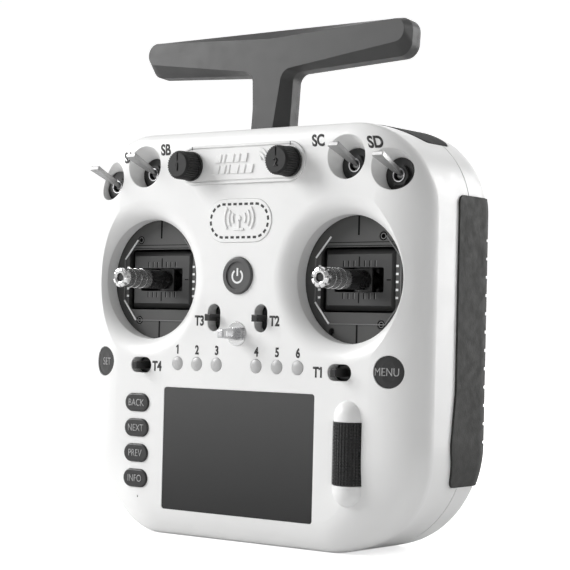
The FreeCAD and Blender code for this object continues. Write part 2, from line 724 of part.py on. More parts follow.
def switch_nut(x, z):
    floor_z = switch_floor_z(z)
    corners = []
    for step in range(7):
        angle = math.radians(60 * step)
        corners.append(Vector(x + 4.3 * math.cos(angle), at_depth(5.6), floor_z + 4.3 * math.sin(angle)))
    hexagon = Part.Face(Part.makePolygon(corners)).extrude(Vector(0, 1.35, 0))
    rounded = hexagon.common(rod_y(x, floor_z, 4.05, 0, 10))
    return rounded.cut(rod_y(x, floor_z, BUSHING_R + 0.05, 0, 10))


def switch_lever(x, z):
    """Flat paddle on a hub with a cross pin; built straight out, then tilted up about the pin."""
    floor_z = switch_floor_z(z)
    pivot_d = LEVER_PIVOT_DEPTH
    hub = rod_x(pivot_d, floor_z, LEVER_HUB_R, x - 1.0, x + 1.0)
    pin = rod_x(pivot_d, floor_z, LEVER_PIN_R, x - BUSHING_R + 0.1, x + BUSHING_R - 0.1)
    neck = rod_y(x, floor_z, 0.95, pivot_d - 6.0, pivot_d)
    tip_d = pivot_d - LEVER_LENGTH
    plan = [(x - 1.15, pivot_d - 4.5), (x + 1.15, pivot_d - 4.5), (x + 2.35, tip_d), (x - 2.35, tip_d)]
    wire = Part.makePolygon([Vector(px, at_depth(depth), floor_z - 0.85) for px, depth in plan + plan[:1]])
    paddle = Part.Face(wire).extrude(Vector(0, 0, 1.7))
    tip = edges_where(paddle, lambda point: point.y < at_depth(tip_d + 0.1))
    paddle = paddle.makeFillet(0.35, tip)
    lever = fused([hub, pin, neck, paddle])
    return tilted(lever, pivot_d, floor_z, -LEVER_TILT)


# ---- knobs --------------------------------------------------------------------------------
def ribbed_prism(x, z, radius, height, count, d0, d1):
    """Cylinder with fine V ribs along its side."""
    corners = []
    for step in range(2 * count):
        reach = radius if step % 2 == 0 else radius - height
        angle = math.pi * step / count
        corners.append(Vector(x + reach * math.cos(angle), at_depth(d0), z + reach * math.sin(angle)))
    corners.append(corners[0])
    return Part.Face(Part.makePolygon(corners)).extrude(Vector(0, d1 - d0, 0))


def knob(side):
    x, z = side * KNOB_X, KNOB_Z
    skirt = rod_y(x, z, KNOB_BASE_R, -2.2, -1.05)
    grip_part = ribbed_prism(x, z, KNOB_FRONT_R + 0.25, 0.35, 36, -KNOB_REACH + 0.7, -2.0)
    top = Part.makeCone(KNOB_FRONT_R - 0.75, KNOB_FRONT_R - 0.05, 0.75,
                        Vector(x, at_depth(-KNOB_REACH), z), PIN)
    body = fused([skirt, grip_part, top])
    hollow = rod_y(x, z, 4.2, -3.2, 0)
    bore = rod_y(x, z, 3.0, -7.0, 0)
    marker = block(x - 0.35, x + 0.35, -KNOB_REACH - 1, -KNOB_REACH + 0.3, z + 1.6, z + 8)
    shaft = rod_y(x, z, 2.97, -6.9, 5.0)
    return Part.makeCompound([body.cut([hollow, bore, marker]), shaft])


def knob_pot(side, forms):
    x, z = side * KNOB_X, KNOB_Z
    case = rounded_block(x, z, 11, 11, 1.0, 2.4, 8.4).common(forms["clear"])
    bushing = rod_y(x, z, 3.5, -0.7, 3.0)
    return fused([case, bushing]).cut(rod_y(x, z, 3.0 + 0.02, -2, 5.4))


# ---- gimbals ------------------------------------------------------------------------------
def gimbal_screw_places(side):
    return [(side * (GIMBAL_X + 11.2), GIMBAL_Z + 16.4), (side * (GIMBAL_X + 11.0), GIMBAL_Z - 16.8)]


def gimbal_plate(side):
    x = side * GIMBAL_X
    d0, d1 = GIMBAL_PLATE_DEPTH, GIMBAL_PLATE_DEPTH + 2.0
    disc = rod_y(x, GIMBAL_Z, GIMBAL_HOLE_R + 1.8, d0, d1)
    cuts = [rounded_block(x, GIMBAL_Z, GIMBAL_OPENING[0], GIMBAL_OPENING[1], 2.2, d0 - 1, d1 + 1)]
    for end in (-1, 1):
        low, high = sorted((end * 16.8, end * 27.0))
        cuts.append(block(x - 0.3, x + 0.3, d0 - 1, d0 + 0.35, GIMBAL_Z + low, GIMBAL_Z + high))
    for screw_x, screw_z in gimbal_screw_places(side):
        cuts.append(rod_y(screw_x, screw_z, 1.05, d0 - 1, d1 + 1))
        cuts.append(rod_y(screw_x, screw_z, 1.75, d0 - 1, d0 + 0.9))
    cuts.append(rod_y(x - side * 11.7, GIMBAL_Z - 19.8, 1.4, d0 - 1, d1 + 1))
    return disc.cut(cuts)


def gimbal_frame(side):
    """Box behind the plate that carries the yoke's two bearings."""
    x = side * GIMBAL_X
    d0 = GIMBAL_PLATE_DEPTH + 2.05
    back = GIMBAL_FRAME_BACK
    outer = rounded_block(x, GIMBAL_Z, 43.4, 41.0, 3.0, d0, back)
    hollow = block(x - 18.4, x + 18.4, d0 - 1, back - 1.5, GIMBAL_Z - 18.0, GIMBAL_Z + 18.0)
    bearings = rod_x(GIMBAL_PIVOT_DEPTH, GIMBAL_Z, 2.0 + RUN_GAP, x - 30, x + 30)
    cuts = [hollow, bearings, rod_y(x, GIMBAL_Z, 8.0, back - 3, back + 1)]
    for screw_x, screw_z in gimbal_screw_places(side):
        outer = outer.fuse(rod_y(screw_x, screw_z, 2.0, d0, d0 + 5))
        cuts.append(rod_y(screw_x, screw_z, 0.85, d0 - 1, d0 + 4.5))
    return outer.cut(cuts)


def gimbal_screw(x, z):
    head = rod_y(x, z, 1.65, GIMBAL_PLATE_DEPTH + 0.1, GIMBAL_PLATE_DEPTH + 0.85)
    shank = rod_y(x, z, 0.8, GIMBAL_PLATE_DEPTH + 0.8, GIMBAL_PLATE_DEPTH + 6.0)
    socket = rod_y(x, z, 0.7, GIMBAL_PLATE_DEPTH - 0.5, GIMBAL_PLATE_DEPTH + 0.55)
    return fused([head, shank]).cut(socket)


def gimbal_yoke(side):
    """Box with a slotted face; it tips up and down on its trunnions."""
    x = side * GIMBAL_X
    d0 = GIMBAL_PLATE_DEPTH + 0.7
    half_w, half_h = YOKE_FACE[0] / 2, YOKE_FACE[1] / 2
    body = block(x - half_w, x + half_w, d0, GIMBAL_PIVOT_DEPTH + 3.5, GIMBAL_Z - half_h, GIMBAL_Z + half_h)
    body = body.makeChamfer(2.0, edges_where(body, lambda point: abs(point.y - at_depth(d0)) < 1e-6))
    hollow = block(x - half_w + 2, x + half_w - 2, d0 + 2.0, 40, GIMBAL_Z - half_h + 2, GIMBAL_Z + half_h - 2)
    slot = rounded_block(x, GIMBAL_Z, YOKE_SLOT[0], YOKE_SLOT[1], 0.8, d0 - 1, d0 + 3)
    hub_holes = rod_z(x, GIMBAL_PIVOT_DEPTH, 1.5 + RUN_GAP, GIMBAL_Z - 12, GIMBAL_Z + 12)
    box = body.cut([hollow, slot, hub_holes])
    trunnions = []
    for end in (-1, 1):
        x0, x1 = sorted((x + end * (half_w - 1.0), x + end * 21.5))
        trunnions.append(rod_x(GIMBAL_PIVOT_DEPTH, GIMBAL_Z, 2.0, x0, x1))
    return fused([box] + trunnions)


def stick(side):
    """Hub that swings sideways in the yoke, its curved shutter and the stick shaft."""
    x = side * GIMBAL_X
    pivot = GIMBAL_PIVOT_DEPTH
    hub_end = YOKE_HALF_HUB
    pin_end = hub_end + 2.2
    hub = rod_z(x, pivot, 4.4, GIMBAL_Z - hub_end, GIMBAL_Z + hub_end)
    pins = rod_z(x, pivot, 1.5, GIMBAL_Z - pin_end, GIMBAL_Z + pin_end)
    neck = rod_y(x, GIMBAL_Z, STICK_SHAFT_R, 13.0, pivot)
    wide = rod_z(x, pivot, 10.6, GIMBAL_Z - 4.5, GIMBAL_Z + 4.5)
    thin = rod_z(x, pivot, 9.5, GIMBAL_Z - 5, GIMBAL_Z + 5)
    shutter = wide.cut(thin).common(block(x - 4.0, x + 4.0, 10, pivot, GIMBAL_Z - 5, GIMBAL_Z + 5))
    shaft = rod_y(x, GIMBAL_Z, STICK_SHAFT_R, 2.1, 13.5)
    thread = rod_y(x, GIMBAL_Z, 1.5, -7.0, 3.0)
    return fused([hub, pins, neck, shutter, shaft, thread])


def stick_tip(side):
    """Knurled metal end with ring grooves and a crowned top."""
    x = side * GIMBAL_X
    reach = STICK_REACH
    body = rod_y(x, GIMBAL_Z, STICK_TIP_R, -reach, 2.0)
    cuts = [rod_y(x, GIMBAL_Z, 1.55, -7.2, 3), rod_y(x, GIMBAL_Z, 1.5, -reach - 1, -reach + 2.0)]
    for depth in (-reach + 4.6, -reach + 7.2):
        ring = rod_y(x, GIMBAL_Z, 5, depth, depth + 0.5).cut(rod_y(x, GIMBAL_Z, STICK_TIP_R - 0.4, -20, 5))
        cuts.append(ring)
    for step in range(3):
        notch = block(x - 0.6, x + 0.6, -reach - 1, -reach + 1.3, GIMBAL_Z - 6, GIMBAL_Z + 6)
        notch.rotate(Vector(x, 0, GIMBAL_Z), PIN, 60 * step)
        cuts.append(notch)
    return body.cut(cuts)


# ---- roller -------------------------------------------------------------------------------
def scroll_wheel():
    low, high = ROLLER_Z - ROLLER_LENGTH / 2, ROLLER_Z + ROLLER_LENGTH / 2
    roller = rod_z(ROLLER_X, ROLLER_DEPTH, ROLLER_R, low, high)
    roller = roller.makeChamfer(0.3, [edge for edge in roller.Edges if len(edge.Vertexes) == 1])
    axle = rod_z(ROLLER_X, ROLLER_DEPTH, 1.0, low - 1.6, high + 1.6)
    return fused([roller, axle])


def wheel_carrier():
    """U bracket that holds the roller's axle and moves in when the roller is pressed."""
    low, high = ROLLER_Z - ROLLER_LENGTH / 2, ROLLER_Z + ROLLER_LENGTH / 2
    arms = []
    for z0, z1 in ((low - 1.9, low - 0.3), (high + 0.3, high + 1.9)):
        arms.append(block(ROLLER_X - 2.6, ROLLER_X + 2.6, 0.2, 12.0, z0, z1))
    base = block(ROLLER_X - 4.5, ROLLER_X + 4.5, 10.0, 12.0, low - 1.9, high + 1.9)
    hole = rod_z(ROLLER_X, ROLLER_DEPTH, 1.0 + RUN_GAP, low - 5, high + 5)
    return fused(arms + [base]).cut(hole)


# ---- antenna ------------------------------------------------------------------------------
def antenna_outline(depth):
    half, post = ANTENNA_HALF, POST_HALF
    points = [(-half, ANTENNA_TOP_Z), (0, ANTENNA_TOP_Z), (half, ANTENNA_TOP_Z), (half, ANTENNA_END_Z),
              (post, ANTENNA_NECK_Z), (post, POST_LOW_Z), (-post, POST_LOW_Z), (-post, ANTENNA_NECK_Z),
              (-half, ANTENNA_END_Z)]
    radii = (5.5, 0, 5.5, 5.5, 4.0, 0, 0, 4.0, 5.5)
    return rounded_wire(points, radii, depth)


def antenna_facet(depth):
    """Raised face of the T: it narrows down the post and is shallow along the arms."""
    half, neck, foot = ANTENNA_HALF - 0.9, 7.4, 3.1
    top, end, neck_z = ANTENNA_TOP_Z - 1.2, ANTENNA_END_Z + 4.8, ANTENNA_NECK_Z + 0.3
    points = [(-half, top), (0, ANTENNA_TOP_Z - 4.3), (half, top), (half, end),
              (neck, neck_z), (foot, POST_LOW_Z), (-foot, POST_LOW_Z), (-neck, neck_z),
              (-half, end)]
    radii = (4.5, 0, 4.5, 4.5, 5.0, 0, 0, 5.0, 4.5)
    return rounded_wire(points, radii, depth)


def hinge_end():
    """Room for the antenna: everything above the pivot, and a round end below it."""
    above = block(-80, 80, 0, 40, ANTENNA_PIVOT_Z, 230)
    end = rod_x(ANTENNA_PIVOT_DEPTH, ANTENNA_PIVOT_Z, ANTENNA_BACK_DEPTH - ANTENNA_PIVOT_DEPTH, -80, 80)
    return above.fuse(end)


def finish_antenna(shape):
    bore = rod_x(ANTENNA_PIVOT_DEPTH, ANTENNA_PIVOT_Z, HINGE_PIN_R + RUN_GAP, -20, 20)
    trimmed = shape.common(hinge_end()).cut(bore)
    return tilted(trimmed, ANTENNA_PIVOT_DEPTH, ANTENNA_PIVOT_Z, -ANTENNA_LEAN)


def antenna_front_cover():
    faceted = Part.makeLoft([antenna_outline(ANTENNA_EDGE_DEPTH), antenna_facet(ANTENNA_FACE_DEPTH)], True, True)
    band = Part.Face(antenna_outline(ANTENNA_EDGE_DEPTH)).extrude(
        Vector(0, ANTENNA_SPLIT_DEPTH - ANTENNA_EDGE_DEPTH, 0))
    return finish_antenna(fused([faceted, band]))


def antenna_rear_cover():
    start = ANTENNA_SPLIT_DEPTH + 0.05
    slab = Part.Face(antenna_outline(start)).extrude(Vector(0, ANTENNA_BACK_DEPTH - start, 0))
    rim = edges_where(slab, lambda point: abs(point.y - at_depth(ANTENNA_BACK_DEPTH)) < 1e-6)
    return finish_antenna(slab.makeFillet(1.2, rim))


def antenna_hinge_pin():
    return rod_x(ANTENNA_PIVOT_DEPTH, ANTENNA_PIVOT_Z, HINGE_PIN_R,
                 0.1 - CHANNEL_HALF - WALL, CHANNEL_HALF + WALL - 0.1)


# ---- inside and back ----------------------------------------------------------------------
def circuit_boards():
    """Main board behind the screen and a control board behind the middle buttons."""
    main = rounded_block(-10, 39.8, 108, 52.4, 2.0, 14.5, 16.1)
    chips = [block(-20, -4, 16.1, 18.0, 30, 46), block(6, 22, 16.1, 17.6, 22, 34),
             block(-50, -38, 16.1, 20.0, 50, 60)]
    main = fused([main] + chips)
    wide = block(-34, 34, 9.0, 10.6, 66.4, 79)
    tall = block(-22, 22, 9.0, 10.6, 78, 116)
    keys = [block(x - 1.8, x + 1.8, 7.8, 9.2, PRESET_Z - 1.8, PRESET_Z + 1.8) for x in PRESET_XS]
    keys.append(block(-3, 3, 7.8, 9.2, POWER_Z - 3, POWER_Z + 3))
    control = fused([wide, tall] + keys)
    for side in (-1, 1):
        control = control.cut(block(side * TRIM_CENTRE_X - 5, side * TRIM_CENTRE_X + 5, 8, 12,
                                    TRIM_CENTRE_Z - 6.2, TRIM_CENTRE_Z + 6.2))
    return Part.makeCompound([main, control])


def battery_cells():
    cells = []
    for z in (BATTERY_Z - 10.0, BATTERY_Z + 10.0):
        can = rod_x(40.6, z, CELL_R, -CELL_LENGTH / 2, CELL_LENGTH / 2)
        button = rod_x(40.6, z, 3.0, CELL_LENGTH / 2, CELL_LENGTH / 2 + 1.4)
        cells.append(fused([can, button]))
    return Part.makeCompound(cells)


def battery_door():
    width, height = BATTERY_DOOR[0] - 0.3, BATTERY_DOOR[1] - 0.3
    door = rounded_block(0, BATTERY_Z, width, height, 4.85, CASE_DEPTH - 1.9, CASE_DEPTH + 0.3)
    rim = edges_where(door, lambda point: abs(point.y - at_depth(CASE_DEPTH + 0.3)) < 1e-6)
    door = door.makeFillet(0.6, rim)
    cuts = []
    for step in range(5):
        z = BATTERY_Z + height / 2 - 5 - 1.8 * step
        cuts.append(stadium(0, z, 16, 0.8, CASE_DEPTH - 0.3, CASE_DEPTH + 1))
    return door.cut(cuts)


def module_cover():
    width, height = MODULE_COVER[0] - 0.2, MODULE_COVER[1] - 0.2
    cover = rounded_block(0, MODULE_Z, width, height, 3.9, CASE_DEPTH - 1.25, CASE_DEPTH + 0.3)
    rim = edges_where(cover, lambda point: abs(point.y - at_depth(CASE_DEPTH + 0.3)) < 1e-6)
    cover = cover.makeFillet(0.6, rim)
    cuts = []
    for step in range(6):
        cuts.append(stadium(0, MODULE_Z - 7.5 + 3 * step, 34, 1.0, CASE_DEPTH - 0.5, CASE_DEPTH + 1))
    return cover.cut(cuts)


def shell_screw(x, z):
    head_d = CASE_DEPTH - 5.0
    head = rod_y(x, z, 2.7, head_d, head_d + 1.6)
    shank = rod_y(x, z, 1.2, 24.0, head_d + 0.5)
    socket = rod_y(x, z, 1.0, head_d + 0.8, head_d + 3)
    return fused([head, shank]).cut(socket)


# ---- all parts ----------------------------------------------------------------------------
def make_forms():
    """The case form at each inset that the parts are cut from."""
    return {
        "outer": case_form(0),
        "inner": case_form(WALL),
        "skin": case_form(0.4),
        "clear": case_form(WALL + 0.15),
        "proud": case_form(-GRIP_PROUD),
        "sunk": case_form(GRIP_SUNK - SEAT_GAP),
        "recess": case_form(GRIP_SUNK),
        "button": case_form(-0.2),
    }


def make_parts():
    forms = make_forms()
    parts = {
        "front_shell": front_shell(forms),
        "rear_shell": rear_shell(forms),
        "knob_panel": knob_panel(),
        "badge_plate": badge_plate(),
        "screen_lens": screen_lens(),
        "lcd_module": lcd_module(forms),
        "lanyard_seat": lanyard_seat(),
        "lanyard_hook": lanyard_hook(),
        "power_button": power_button(),
        "scroll_wheel": scroll_wheel(),
        "wheel_carrier": wheel_carrier(),
        "antenna_front_cover": antenna_front_cover(),
        "antenna_rear_cover": antenna_rear_cover(),
        "antenna_hinge_pin": antenna_hinge_pin(),
        "circuit_boards": circuit_boards(),
        "battery_cells": battery_cells(),
        "battery_door": battery_door(),
        "module_cover": module_cover(),
        "usb_port": usb_port(),
    }
    for side, name in ((-1, "left"), (1, "right")):
        parts[name + "_grip"] = grip(side, forms)
        parts[name + "_shoulder_button"] = shoulder_button(side, forms)
        parts[name + "_knob"] = knob(side)
        parts[name + "_gimbal_yoke"] = gimbal_yoke(side)
        parts[name + "_stick"] = stick(side)
        parts[name + "_stick_tip"] = stick_tip(side)
    parts["set_button"] = round_button(-1, forms)
    parts["menu_button"] = round_button(1, forms)
    for number, x in enumerate(PRESET_XS, 1):
        parts["preset_button_%d" % number] = preset_button(x)
    for name, z in zip(FUNCTION_NAMES, FUNCTION_ZS):
        parts[name] = function_button(z, forms)
    for number, x, z, upright in trim_places():
        parts["trim_lever_%d" % number] = trim_lever(x, z, upright)
    for letter, x, z in switch_places():
        parts["switch_lever_" + letter] = switch_lever(x, z)
    groups = {
        "gimbal_plates": [gimbal_plate(side) for side in (-1, 1)],
        "gimbal_frames": [gimbal_frame(side) for side in (-1, 1)],
        "gimbal_screws": [gimbal_screw(x, z) for side in (-1, 1) for x, z in gimbal_screw_places(side)],
        "knob_pots": [knob_pot(side, forms) for side in (-1, 1)],
        "trim_brackets": [trim_bracket(x, z, upright) for _, x, z, upright in trim_places()],
        "switch_plates": [switch_plate(x, z, forms) for _, x, z in switch_places()],
        "switch_bodies": [switch_body(x, z, forms) for _, x, z in switch_places()],
        "switch_nuts": [switch_nut(x, z) for _, x, z in switch_places()],
        "shell_screws": [shell_screw(x, z) for x, z in BOSS_PLACES],
    }
    for name, members in groups.items():
        parts[name] = Part.makeCompound(members)
    return parts


def export(parts):
    os.makedirs("parts", exist_ok=True)
    for name, shape in parts.items():
        solids = shape.Solids
        good = solids and all(solid.isValid() and solid.isClosed() for solid in solids)
        print(name, "solids", len(solids), "volume", round(shape.Volume, 1), "ok" if good else "BAD")
        whole = solids[0] if len(solids) == 1 else Part.makeCompound(solids)
        whole.exportStep("parts/%s.step" % name)


export(make_parts())
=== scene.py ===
import math

import bmesh
import bpy
from mathutils import Matrix, Vector
from mathutils.bvhtree import BVHTree


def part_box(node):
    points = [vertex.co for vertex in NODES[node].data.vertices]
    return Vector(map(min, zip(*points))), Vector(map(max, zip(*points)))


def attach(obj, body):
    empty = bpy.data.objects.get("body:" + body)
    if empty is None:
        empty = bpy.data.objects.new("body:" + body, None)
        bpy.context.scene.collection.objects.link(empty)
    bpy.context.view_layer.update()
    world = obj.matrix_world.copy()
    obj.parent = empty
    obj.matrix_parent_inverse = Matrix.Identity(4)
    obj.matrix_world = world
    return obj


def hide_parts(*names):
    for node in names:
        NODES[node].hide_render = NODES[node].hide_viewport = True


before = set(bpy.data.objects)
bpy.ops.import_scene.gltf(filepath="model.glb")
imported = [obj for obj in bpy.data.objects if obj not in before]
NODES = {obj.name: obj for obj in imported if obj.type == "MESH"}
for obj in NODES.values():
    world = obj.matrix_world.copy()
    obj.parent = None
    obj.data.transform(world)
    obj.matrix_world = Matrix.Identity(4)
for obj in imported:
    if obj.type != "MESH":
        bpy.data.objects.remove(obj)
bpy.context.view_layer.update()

# Looks of the radio transmitter controller: materials for every CAD node, and the fine detail
# that sits on them: legends, embossed ribs, dial ticks, knurls and button symbols.
MM = 0.001
SIDES = (-1, 1)

# How far a legend stands off its surface, how high moulded relief rises, and how deep both are rooted
PRINT_LIFT = 0.04 * MM
EMBOSS_HEIGHT = 0.45 * MM
ROOT_DEPTH = 0.1 * MM


# ---- materials ----------------------------------------------------------------------------
def start_material(name):
    material = bpy.data.materials.new(name)
    material.use_nodes = True
    tree = material.node_tree
    coords = tree.nodes.new("ShaderNodeTexCoord")
    return material, tree, tree.nodes["Principled BSDF"], coords.outputs["Object"]


def add_noise(tree, vector, scale, detail=4.0, stretch=None):
    noise = tree.nodes.new("ShaderNodeTexNoise")
    noise.inputs["Scale"].default_value = scale
    noise.inputs["Detail"].default_value = detail
    if stretch:
        mapping = tree.nodes.new("ShaderNodeMapping")
        mapping.inputs["Scale"].default_value = stretch
        tree.links.new(vector, mapping.inputs["Vector"])
        vector = mapping.outputs["Vector"]
    tree.links.new(vector, noise.inputs["Vector"])
    return noise.outputs["Fac"]


def add_range(tree, value, low, high):
    """The value remapped from 0.3-0.7, where noise mostly lies, to low-high."""
    remap = tree.nodes.new("ShaderNodeMapRange")
    remap.inputs["From Min"].default_value = 0.3
    remap.inputs["From Max"].default_value = 0.7
    remap.inputs["To Min"].default_value = low
    remap.inputs["To Max"].default_value = high
    tree.links.new(value, remap.inputs["Value"])
    return remap.outputs["Result"]


def add_mix(tree, factor, first, second):
    mix = tree.nodes.new("ShaderNodeMix")
    mix.data_type = "RGBA"
    mix.inputs["A"].default_value = (*first, 1)
    mix.inputs["B"].default_value = (*second, 1)
    tree.links.new(factor, mix.inputs["Factor"])
    return mix.outputs["Result"]


def add_bump(tree, height, depth, soft_edge=0.0):
    """Bump of a depth in metres, over a shading bevel that softens the edges when one is asked for."""
    bump = tree.nodes.new("ShaderNodeBump")
    bump.inputs["Distance"].default_value = depth
    tree.links.new(height, bump.inputs["Height"])
    if soft_edge:
        bevel = tree.nodes.new("ShaderNodeBevel")
        bevel.samples = 4
        bevel.inputs["Radius"].default_value = soft_edge
        tree.links.new(bevel.outputs["Normal"], bump.inputs["Normal"])
    return bump.outputs["Normal"]


def scaled(colour, share):
    return [min(1, channel * share) for channel in colour]


def grey(level):
    return (level, level, level)


def plastic(name, colour, roughness, grain, grain_scale, mottle, soft_edge, shine=0.5):
    """Moulded plastic: faint mottling, uneven gloss and a fine moulded grain; grain and edge in mm."""
    material, tree, shader, coords = start_material(name)
    broad = add_noise(tree, coords, scale=60)
    tone = add_mix(tree, broad, scaled(colour, 1 - mottle), scaled(colour, 1 + mottle))
    tree.links.new(tone, shader.inputs["Base Color"])
    gloss = add_range(tree, add_noise(tree, coords, scale=220), roughness - 0.05, roughness + 0.05)
    tree.links.new(gloss, shader.inputs["Roughness"])
    fine = add_noise(tree, coords, grain_scale, detail=3)
    tree.links.new(add_bump(tree, fine, grain * MM, soft_edge * MM), shader.inputs["Normal"])
    shader.inputs["Specular IOR Level"].default_value = shine
    return material


def rubber(name, colour, pebble_depth=0.03, pebble_scale=1500):
    """Soft-touch rubber: rough, slightly dusty, with a close pebble texture; pebble depth in mm."""
    material, tree, shader, coords = start_material(name)
    dust = add_noise(tree, coords, scale=35, detail=6)
    tree.links.new(add_mix(tree, dust, scaled(colour, 0.88), scaled(colour, 1.12)),
                   shader.inputs["Base Color"])
    tree.links.new(add_range(tree, add_noise(tree, coords, scale=300), 0.62, 0.8),
                   shader.inputs["Roughness"])
    cells = tree.nodes.new("ShaderNodeTexVoronoi")
    cells.inputs["Scale"].default_value = pebble_scale
    tree.links.new(coords, cells.inputs["Vector"])
    normal = add_bump(tree, cells.outputs["Distance"], pebble_depth * MM, soft_edge=0.2 * MM)
    tree.links.new(normal, shader.inputs["Normal"])
    shader.inputs["Specular IOR Level"].default_value = 0.3
    shader.inputs["Sheen Weight"].default_value = 0.05
    shader.inputs["Sheen Roughness"].default_value = 0.5
    return material


def metal(name, colour, roughness, brush=(40, 2200, 2200), scratch_depth=0.004):
    """Metal with fine brushing: brush stretches the noise along one axis, and depth is in mm."""
    material, tree, shader, coords = start_material(name)
    shader.inputs["Metallic"].default_value = 1.0
    streaks = add_noise(tree, coords, scale=1.0, detail=3, stretch=brush)
    tree.links.new(add_mix(tree, streaks, scaled(colour, 0.85), colour), shader.inputs["Base Color"])
    tree.links.new(add_range(tree, streaks, roughness * 0.7, roughness * 1.4), shader.inputs["Roughness"])
    tree.links.new(add_bump(tree, streaks, scratch_depth * MM, soft_edge=0.1 * MM),
                   shader.inputs["Normal"])
    return material


def screen_material(name, low_z, high_z):
    """Display window: darker towards its lower edge, faintly hazy, with a very fine anti-glare grain."""
    material, tree, shader, coords = start_material(name)
    split = tree.nodes.new("ShaderNodeSeparateXYZ")
    tree.links.new(coords, split.inputs["Vector"])
    rise = tree.nodes.new("ShaderNodeMapRange")
    rise.inputs["From Min"].default_value = low_z
    rise.inputs["From Max"].default_value = high_z
    tree.links.new(split.outputs["Z"], rise.inputs["Value"])
    tree.links.new(add_mix(tree, rise.outputs["Result"], grey(0.025), grey(0.072)),
                   shader.inputs["Base Color"])
    tree.links.new(add_range(tree, add_noise(tree, coords, scale=150), 0.34, 0.42),
                   shader.inputs["Roughness"])
    grain = add_noise(tree, coords, scale=4000, detail=2)
    tree.links.new(add_bump(tree, grain, 0.002 * MM), shader.inputs["Normal"])
    shader.inputs["Specular IOR Level"].default_value = 0.25
    return material


def ink(name, level):
    """Pad-printed grey ink with slightly uneven coverage."""
    material, tree, shader, coords = start_material(name)
    patches = add_noise(tree, coords, scale=900, detail=5)
    tree.links.new(add_mix(tree, patches, grey(level * 0.8), grey(min(1, level * 1.15 + 0.005))),
                   shader.inputs["Base Color"])
    tree.links.new(add_range(tree, patches, 0.5, 0.65), shader.inputs["Roughness"])
    tree.links.new(add_bump(tree, patches, 0.003 * MM), shader.inputs["Normal"])
    return material


def board(name):
    """Green circuit board: solder mask with copper tracks showing as lines."""
    material, tree, shader, coords = start_material(name)
    tracks = tree.nodes.new("ShaderNodeTexBrick")
    tracks.inputs["Scale"].default_value = 180
    tracks.inputs["Color1"].default_value = (0.01, 0.09, 0.035, 1)
    tracks.inputs["Color2"].default_value = (0.012, 0.11, 0.04, 1)
    tracks.inputs["Mortar"].default_value = (0.03, 0.2, 0.07, 1)
    tracks.inputs["Mortar Size"].default_value = 0.04
    tree.links.new(coords, tracks.inputs["Vector"])
    tree.links.new(tracks.outputs["Color"], shader.inputs["Base Color"])
    tree.links.new(add_range(tree, add_noise(tree, coords, scale=300), 0.3, 0.42),
                   shader.inputs["Roughness"])
    tree.links.new(add_bump(tree, tracks.outputs["Fac"], 0.02 * MM), shader.inputs["Normal"])
    return material


# A plastic is its colour, roughness, grain depth, grain scale, mottling, softened edge and shine
SCREEN_LOW, SCREEN_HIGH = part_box("screen_lens")
MATERIALS = {
    "case_white": plastic("case_white", (0.86, 0.86, 0.855), 0.36, 0.004, 1800, 0.012, 0.5),
    "antenna_grey": plastic("antenna_grey", grey(0.06), 0.46, 0.012, 2400, 0.05, 0.25, shine=0.35),
    "gimbal_grey": plastic("gimbal_grey", (0.055, 0.055, 0.054), 0.42, 0.01, 2600, 0.06, 0.12),
    "gimbal_dark": plastic("gimbal_dark", grey(0.03), 0.4, 0.008, 2600, 0.08, 0.12),
    # mark_grey also paints the highlight on the lit edge of each yoke tick
    "mark_grey": plastic("mark_grey", grey(0.15), 0.4, 0.006, 2200, 0.08, 0.1),
    "yoke_grey": plastic("yoke_grey", grey(0.036), 0.45, 0.008, 2600, 0.08, 0.15),
    "shaft_black": plastic("shaft_black", grey(0.02), 0.25, 0.003, 1500, 0.1, 0.12),
    # black also makes the painted-shade disc deep in each stick's socket
    "black": plastic("black_plastic", grey(0.012), 0.35, 0.006, 2000, 0.1, 0.1),
    # line_black also paints the shade inside the engraved yoke ticks and the scribed plate lines
    "line_black": plastic("line_black", grey(0.003), 0.8, 0.006, 2000, 0.1, 0.1, shine=0.1),
    "button_dark": plastic("button_dark", grey(0.026), 0.34, 0.006, 2200, 0.08, 0.2),
    "shoulder_dark": plastic("shoulder_dark", grey(0.03), 0.7, 0.01, 2200, 0.08, 0.25, shine=0.2),
    "button_grey": plastic("button_grey", grey(0.075), 0.4, 0.006, 2200, 0.08, 0.2),
    "preset_pale": plastic("preset_pale", grey(0.46), 0.3, 0.003, 1500, 0.03, 0.15),
    "roller_black": plastic("roller_black", grey(0.026), 0.3, 0.01, 2600, 0.12, 0.08),
    "grip_rubber": rubber("grip_rubber", (0.038, 0.038, 0.036)),
    "knob_rubber": plastic("knob_rubber", grey(0.014), 0.5, 0.01, 2600, 0.1, 0.12, shine=0.35),
    "chrome": metal("chrome", grey(0.9), roughness=0.12),
    "tip_metal": metal("tip_metal", grey(0.15), roughness=0.24),
    "dark_metal": metal("dark_metal", grey(0.5), roughness=0.5),
    "steel": metal("steel", (0.72, 0.72, 0.73), roughness=0.26),
    "screen": screen_material("screen_window", SCREEN_LOW.z, SCREEN_HIGH.z),
    "ink_dark": ink("ink_dark", 0.02),
    "ink_light": ink("ink_light", 0.42),
    # ink_white also paints the highlight on two sides of each gimbal octagon
    "ink_white": ink("ink_white", 0.9),
    "board": board("circuit_board"),
    "cell_wrap": plastic("cell_wrap", (0.02, 0.08, 0.3), 0.22, 0.003, 900, 0.1, 0.1),
}

